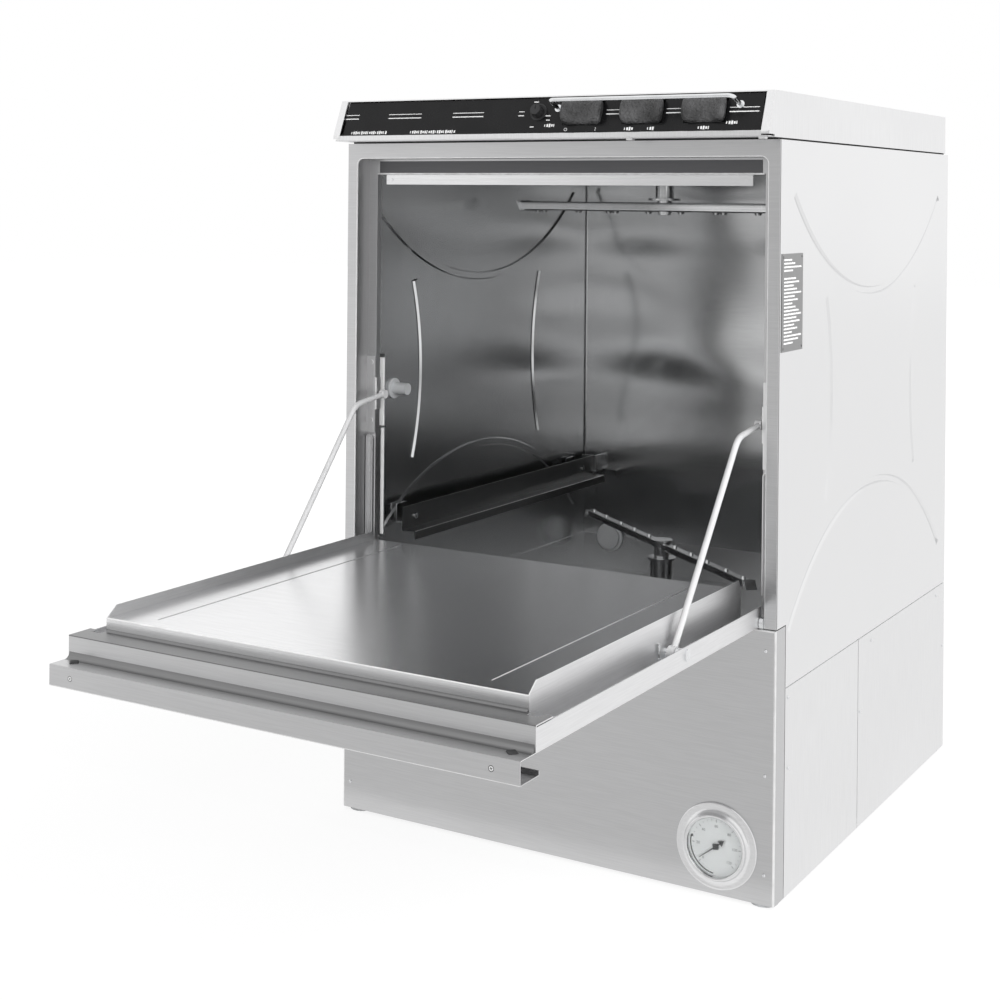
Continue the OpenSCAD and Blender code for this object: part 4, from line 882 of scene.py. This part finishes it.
class WASHER_OT_plate(bpy.types.Operator):
    """Makes the pale rows on the data plate and the panel screws"""
    bl_idname = "washer.plate"
    bl_label = "Plate and screws"

    def execute(self, context):
        self.rows()
        self.screws()
        return {"FINISHED"}

    def rows(self):
        """Two blocks of plain rows of uneven length, where the plate's text would be."""
        start, top, pitch, tall = 13, 734, 4.1, 1.9
        # The first rows are a block of their own, with a gap under it.
        block, gap = 4, 5
        bm = bmesh.new()
        for i in range(23):
            length = 54 if i % 6 == 2 else 24 + (i * 37) % 27
            z = top - pitch * i - (gap if i >= block else 0)
            gather(bm, bar(start, start + length, z, z + tall, 0.8, 0.9), turned(90, "Z") @ turned(90, "X"))
        bmesh.ops.translate(bm, vec=(BODY_HALF, 0, 0), verts=bm.verts)
        finished("plate_rows", bm, "cabinet", "dial_white", finish="marks", weighted=False, matrix=BODY)

    def screws(self):
        """Pan heads on the lower panels: on both sides, down the front's edges and on the back."""
        front_x = 288
        heads = bmesh.new()
        for side in (-1, 1):
            # Places (y, z) on the sides, heights on the front and places (x, z) on the back.
            for y, z in ((336, 232), (292, 150.5), (660, 152.5), (628, 232), (39, 232), (41, 150.5)):
                place = Matrix.Translation((side * BODY_HALF, y, z)) @ turned(side * 90, "Y")
                gather(heads, pan_head(), place)
            for z in (38, 150.5, 292):
                gather(heads, pan_head(), Matrix.Translation((side * front_x, 0, z)) @ turned(90, "X"))
            for x, z in ((80, 34), (80, 229), (280, 34), (280, 229)):
                place = Matrix.Translation((side * x, BODY_DEPTH, z)) @ turned(-90, "X")
                gather(heads, pan_head(), place)
        finished("screw_heads", heads, "cabinet", "bright_steel", ("panel_screws",), matrix=BODY)


class WASHER_OT_studio(bpy.types.Operator):
    """Makes the floor, the reflector cards, the lamps and the camera"""
    bl_idname = "washer.studio"
    bl_label = "Studio"

    def execute(self, context):
        scene = context.scene
        studio = settings()[2]
        self.world(scene, studio)
        self.floor()
        # Cards: place, width and height in metres, the way they face, tone and fade.
        back, up = (0, 1, 0), (0, 0, 1)
        self.card("front_card", at(-350, -4200, 1500), (3.9, 3.4), back, studio.card)
        self.card("floor_card", at(-350, -2300, 3), (1.3, 4.5), up, studio.card * 1.22)
        self.card("side_card", at(2500, -4200, 1000), (1.8, 2.0), back, 0.75, (0.25, 0.75))
        # Lamps: place, what they are aimed at, size in metres and power.
        self.lamp("key_lamp", at(3200, -500, 2300), at(300, 300, 500), 3.0, studio.key)
        self.lamp("front_lamp", at(2200, -3000, 1700), at(0, 0, 500), 2.0, studio.key * 0.9)
        self.camera(scene, studio)
        return {"FINISHED"}

    def world(self, scene, studio):
        """White to the camera, in reflections and through glass; as a light it has the room's level."""
        world = bpy.data.worlds.new("studio world")
        scene.world = world
        world.use_nodes = True
        tree = world.node_tree
        tree.nodes.clear()
        path = tree.nodes.new("ShaderNodeLightPath")
        seen = path.outputs["Is Camera Ray"]
        for kind in ("Is Glossy Ray", "Is Transmission Ray"):
            either = tree.nodes.new("ShaderNodeMath")
            either.operation = "MAXIMUM"
            tree.links.new(seen, either.inputs[0])
            tree.links.new(path.outputs[kind], either.inputs[1])
            seen = either.outputs[0]
        mix = tree.nodes.new("ShaderNodeMixShader")
        tree.links.new(seen, mix.inputs[0])
        for socket, strength in ((1, studio.room), (2, 1.0)):
            white = tree.nodes.new("ShaderNodeBackground")
            white.inputs["Color"].default_value = (1, 1, 1, 1)
            white.inputs["Strength"].default_value = strength
            tree.links.new(white.outputs[0], mix.inputs[socket])
        out = tree.nodes.new("ShaderNodeOutputWorld")
        tree.links.new(mix.outputs[0], out.inputs["Surface"])

    def flat(self, name, size, material, matrix=Matrix.Identity(4)):
        """A flat rectangle of the studio, in its place."""
        bm = bmesh.new()
        bmesh.ops.create_grid(bm, x_segments=1, y_segments=1, size=0.5)
        bmesh.ops.scale(bm, vec=(size[0], size[1], 1), verts=bm.verts)
        bmesh.ops.transform(bm, matrix=matrix, verts=bm.verts)
        mesh = bpy.data.meshes.new(name)
        bm.to_mesh(mesh)
        bm.free()
        mesh.materials.append(material)
        thing = bpy.data.objects.new(name, mesh)
        bpy.context.scene.collection.objects.link(thing)
        return thing

    def floor(self):
        """A white floor: far off it is the backdrop's white, and near the washer it keeps a soft shadow."""
        # Distances in metres from the middle, between which the shadow fades out.
        near, far = 0.7, 1.8
        size = 28
        r = Recipe("floor", (0.9, 0.9, 0.9), roughness=0.9)
        r.vary_colour(r.noise(r.place(), 3, 3), 0.99, 1.01)
        glow = r.add("ShaderNodeEmission")
        path = r.add("ShaderNodeLightPath")
        r.join(r.span(path.outputs["Is Camera Ray"], 0.92, 1.08, 0, 1), glow.inputs["Strength"])
        distance = r.add("ShaderNodeVectorMath", operation="LENGTH")
        r.join(r.coord.outputs["Object"], distance.inputs[0])
        seen = r.add("ShaderNodeMath", operation="MULTIPLY")
        r.join(path.outputs["Is Camera Ray"], seen.inputs[0])
        r.join(r.span(distance.outputs["Value"], 0.8, 1.0, near, far), seen.inputs[1])
        share = r.add("ShaderNodeMath", operation="MAXIMUM")
        r.join(seen.outputs[0], share.inputs[0])
        r.join(path.outputs["Is Glossy Ray"], share.inputs[1])
        mix = r.add("ShaderNodeMixShader")
        r.join(share.outputs[0], mix.inputs[0])
        r.join(r.shader.outputs[0], mix.inputs[1])
        r.join(glow.outputs[0], mix.inputs[2])
        r.join(mix.outputs[0], r.output.inputs["Surface"])
        floor = self.flat("floor", (size, size), r.material)

    def card(self, name, place, size, facing, tone, fade=None):
        """A grey card that only reflections see; with a fade it darkens downwards between two heights."""
        r = Recipe(name, (tone, tone, tone), roughness=1.0)
        glow = r.add("ShaderNodeEmission")
        glow.inputs["Color"].default_value = (tone, tone, tone, 1)
        if fade:
            apart = r.add("ShaderNodeSeparateXYZ")
            r.join(r.coord.outputs["Object"], apart.inputs[0])
            r.join(r.span(apart.outputs["Z"], 0.2, 1.0, *fade), glow.inputs["Strength"])
        r.join(glow.outputs[0], r.output.inputs["Surface"])
        turn = Vector(facing).to_track_quat("Z", "Y").to_matrix().to_4x4()
        card = self.flat(name, size, r.material, Matrix.Translation(place) @ turn)
        card.visible_camera = card.visible_diffuse = card.visible_shadow = False
        card.visible_transmission = False

    def lamp(self, name, place, target, size, power):
        """A square lamp aimed at a target; reflections don't see it."""
        data = bpy.data.lights.new(name, "AREA")
        data.energy = power
        data.size = size
        lamp = bpy.data.objects.new(name, data)
        bpy.context.scene.collection.objects.link(lamp)
        lamp.location = place
        lamp.rotation_euler = (target - place).to_track_quat("-Z", "Y").to_euler()
        lamp.visible_glossy = False

    def camera(self, scene, studio):
        """A level camera in front and to the right, so that upright edges stay parallel."""
        place = at(997.67, -1785.67, 801.72)
        # Degrees to the left of straight ahead, and of roll.
        left = 30.83
        roll = 0.52
        data = bpy.data.cameras.new("camera")
        data.sensor_width = 36
        data.lens = studio.lens
        # The shift lowers the view without a tilt.
        data.shift_y = -0.3012
        data.clip_start = 0.05
        data.clip_end = 60
        camera = bpy.data.objects.new("camera", data)
        scene.collection.objects.link(camera)
        turn = turned(left, "Z") @ turned(90, "X") @ turned(roll, "Z")
        camera.matrix_world = Matrix.Translation(place) @ turn
        scene.camera = camera
        scene.view_settings.view_transform = "Standard"


class WASHER_PT_panel(bpy.types.Panel):
    """Sizes, colours and steps of the glass washer"""
    bl_idname = "WASHER_PT_panel"
    bl_label = "Glass washer"
    bl_space_type = "VIEW_3D"
    bl_region_type = "UI"
    bl_category = "Washer"

    def draw(self, context):
        column = self.layout.column()
        for group in settings():
            for key in group.__annotations__:
                column.prop(group, key)
        for step in STEPS:
            column.operator(step.bl_idname)


STEPS = (WASHER_OT_finishes, WASHER_OT_sheets, WASHER_OT_fittings, WASHER_OT_door, WASHER_OT_console,
         WASHER_OT_gauge, WASHER_OT_plate, WASHER_OT_studio)
GROUPS = {"washer_finish": WasherFinish, "washer_sizes": WasherSizes, "washer_studio": WasherStudio}


def register():
    for group in GROUPS.values():
        bpy.utils.register_class(group)
    for name, group in GROUPS.items():
        setattr(bpy.types.Scene, name, bpy.props.PointerProperty(type=group))
    for step in (*STEPS, WASHER_PT_panel):
        bpy.utils.register_class(step)


def unregister():
    for step in reversed((*STEPS, WASHER_PT_panel)):
        bpy.utils.unregister_class(step)
    for name, group in GROUPS.items():
        delattr(bpy.types.Scene, name)
        bpy.utils.unregister_class(group)


def main():
    register()
    for step in STEPS:
        area, name = step.bl_idname.split(".")
        getattr(getattr(bpy.ops, area), name)()


if __name__ == "__main__":
    main()
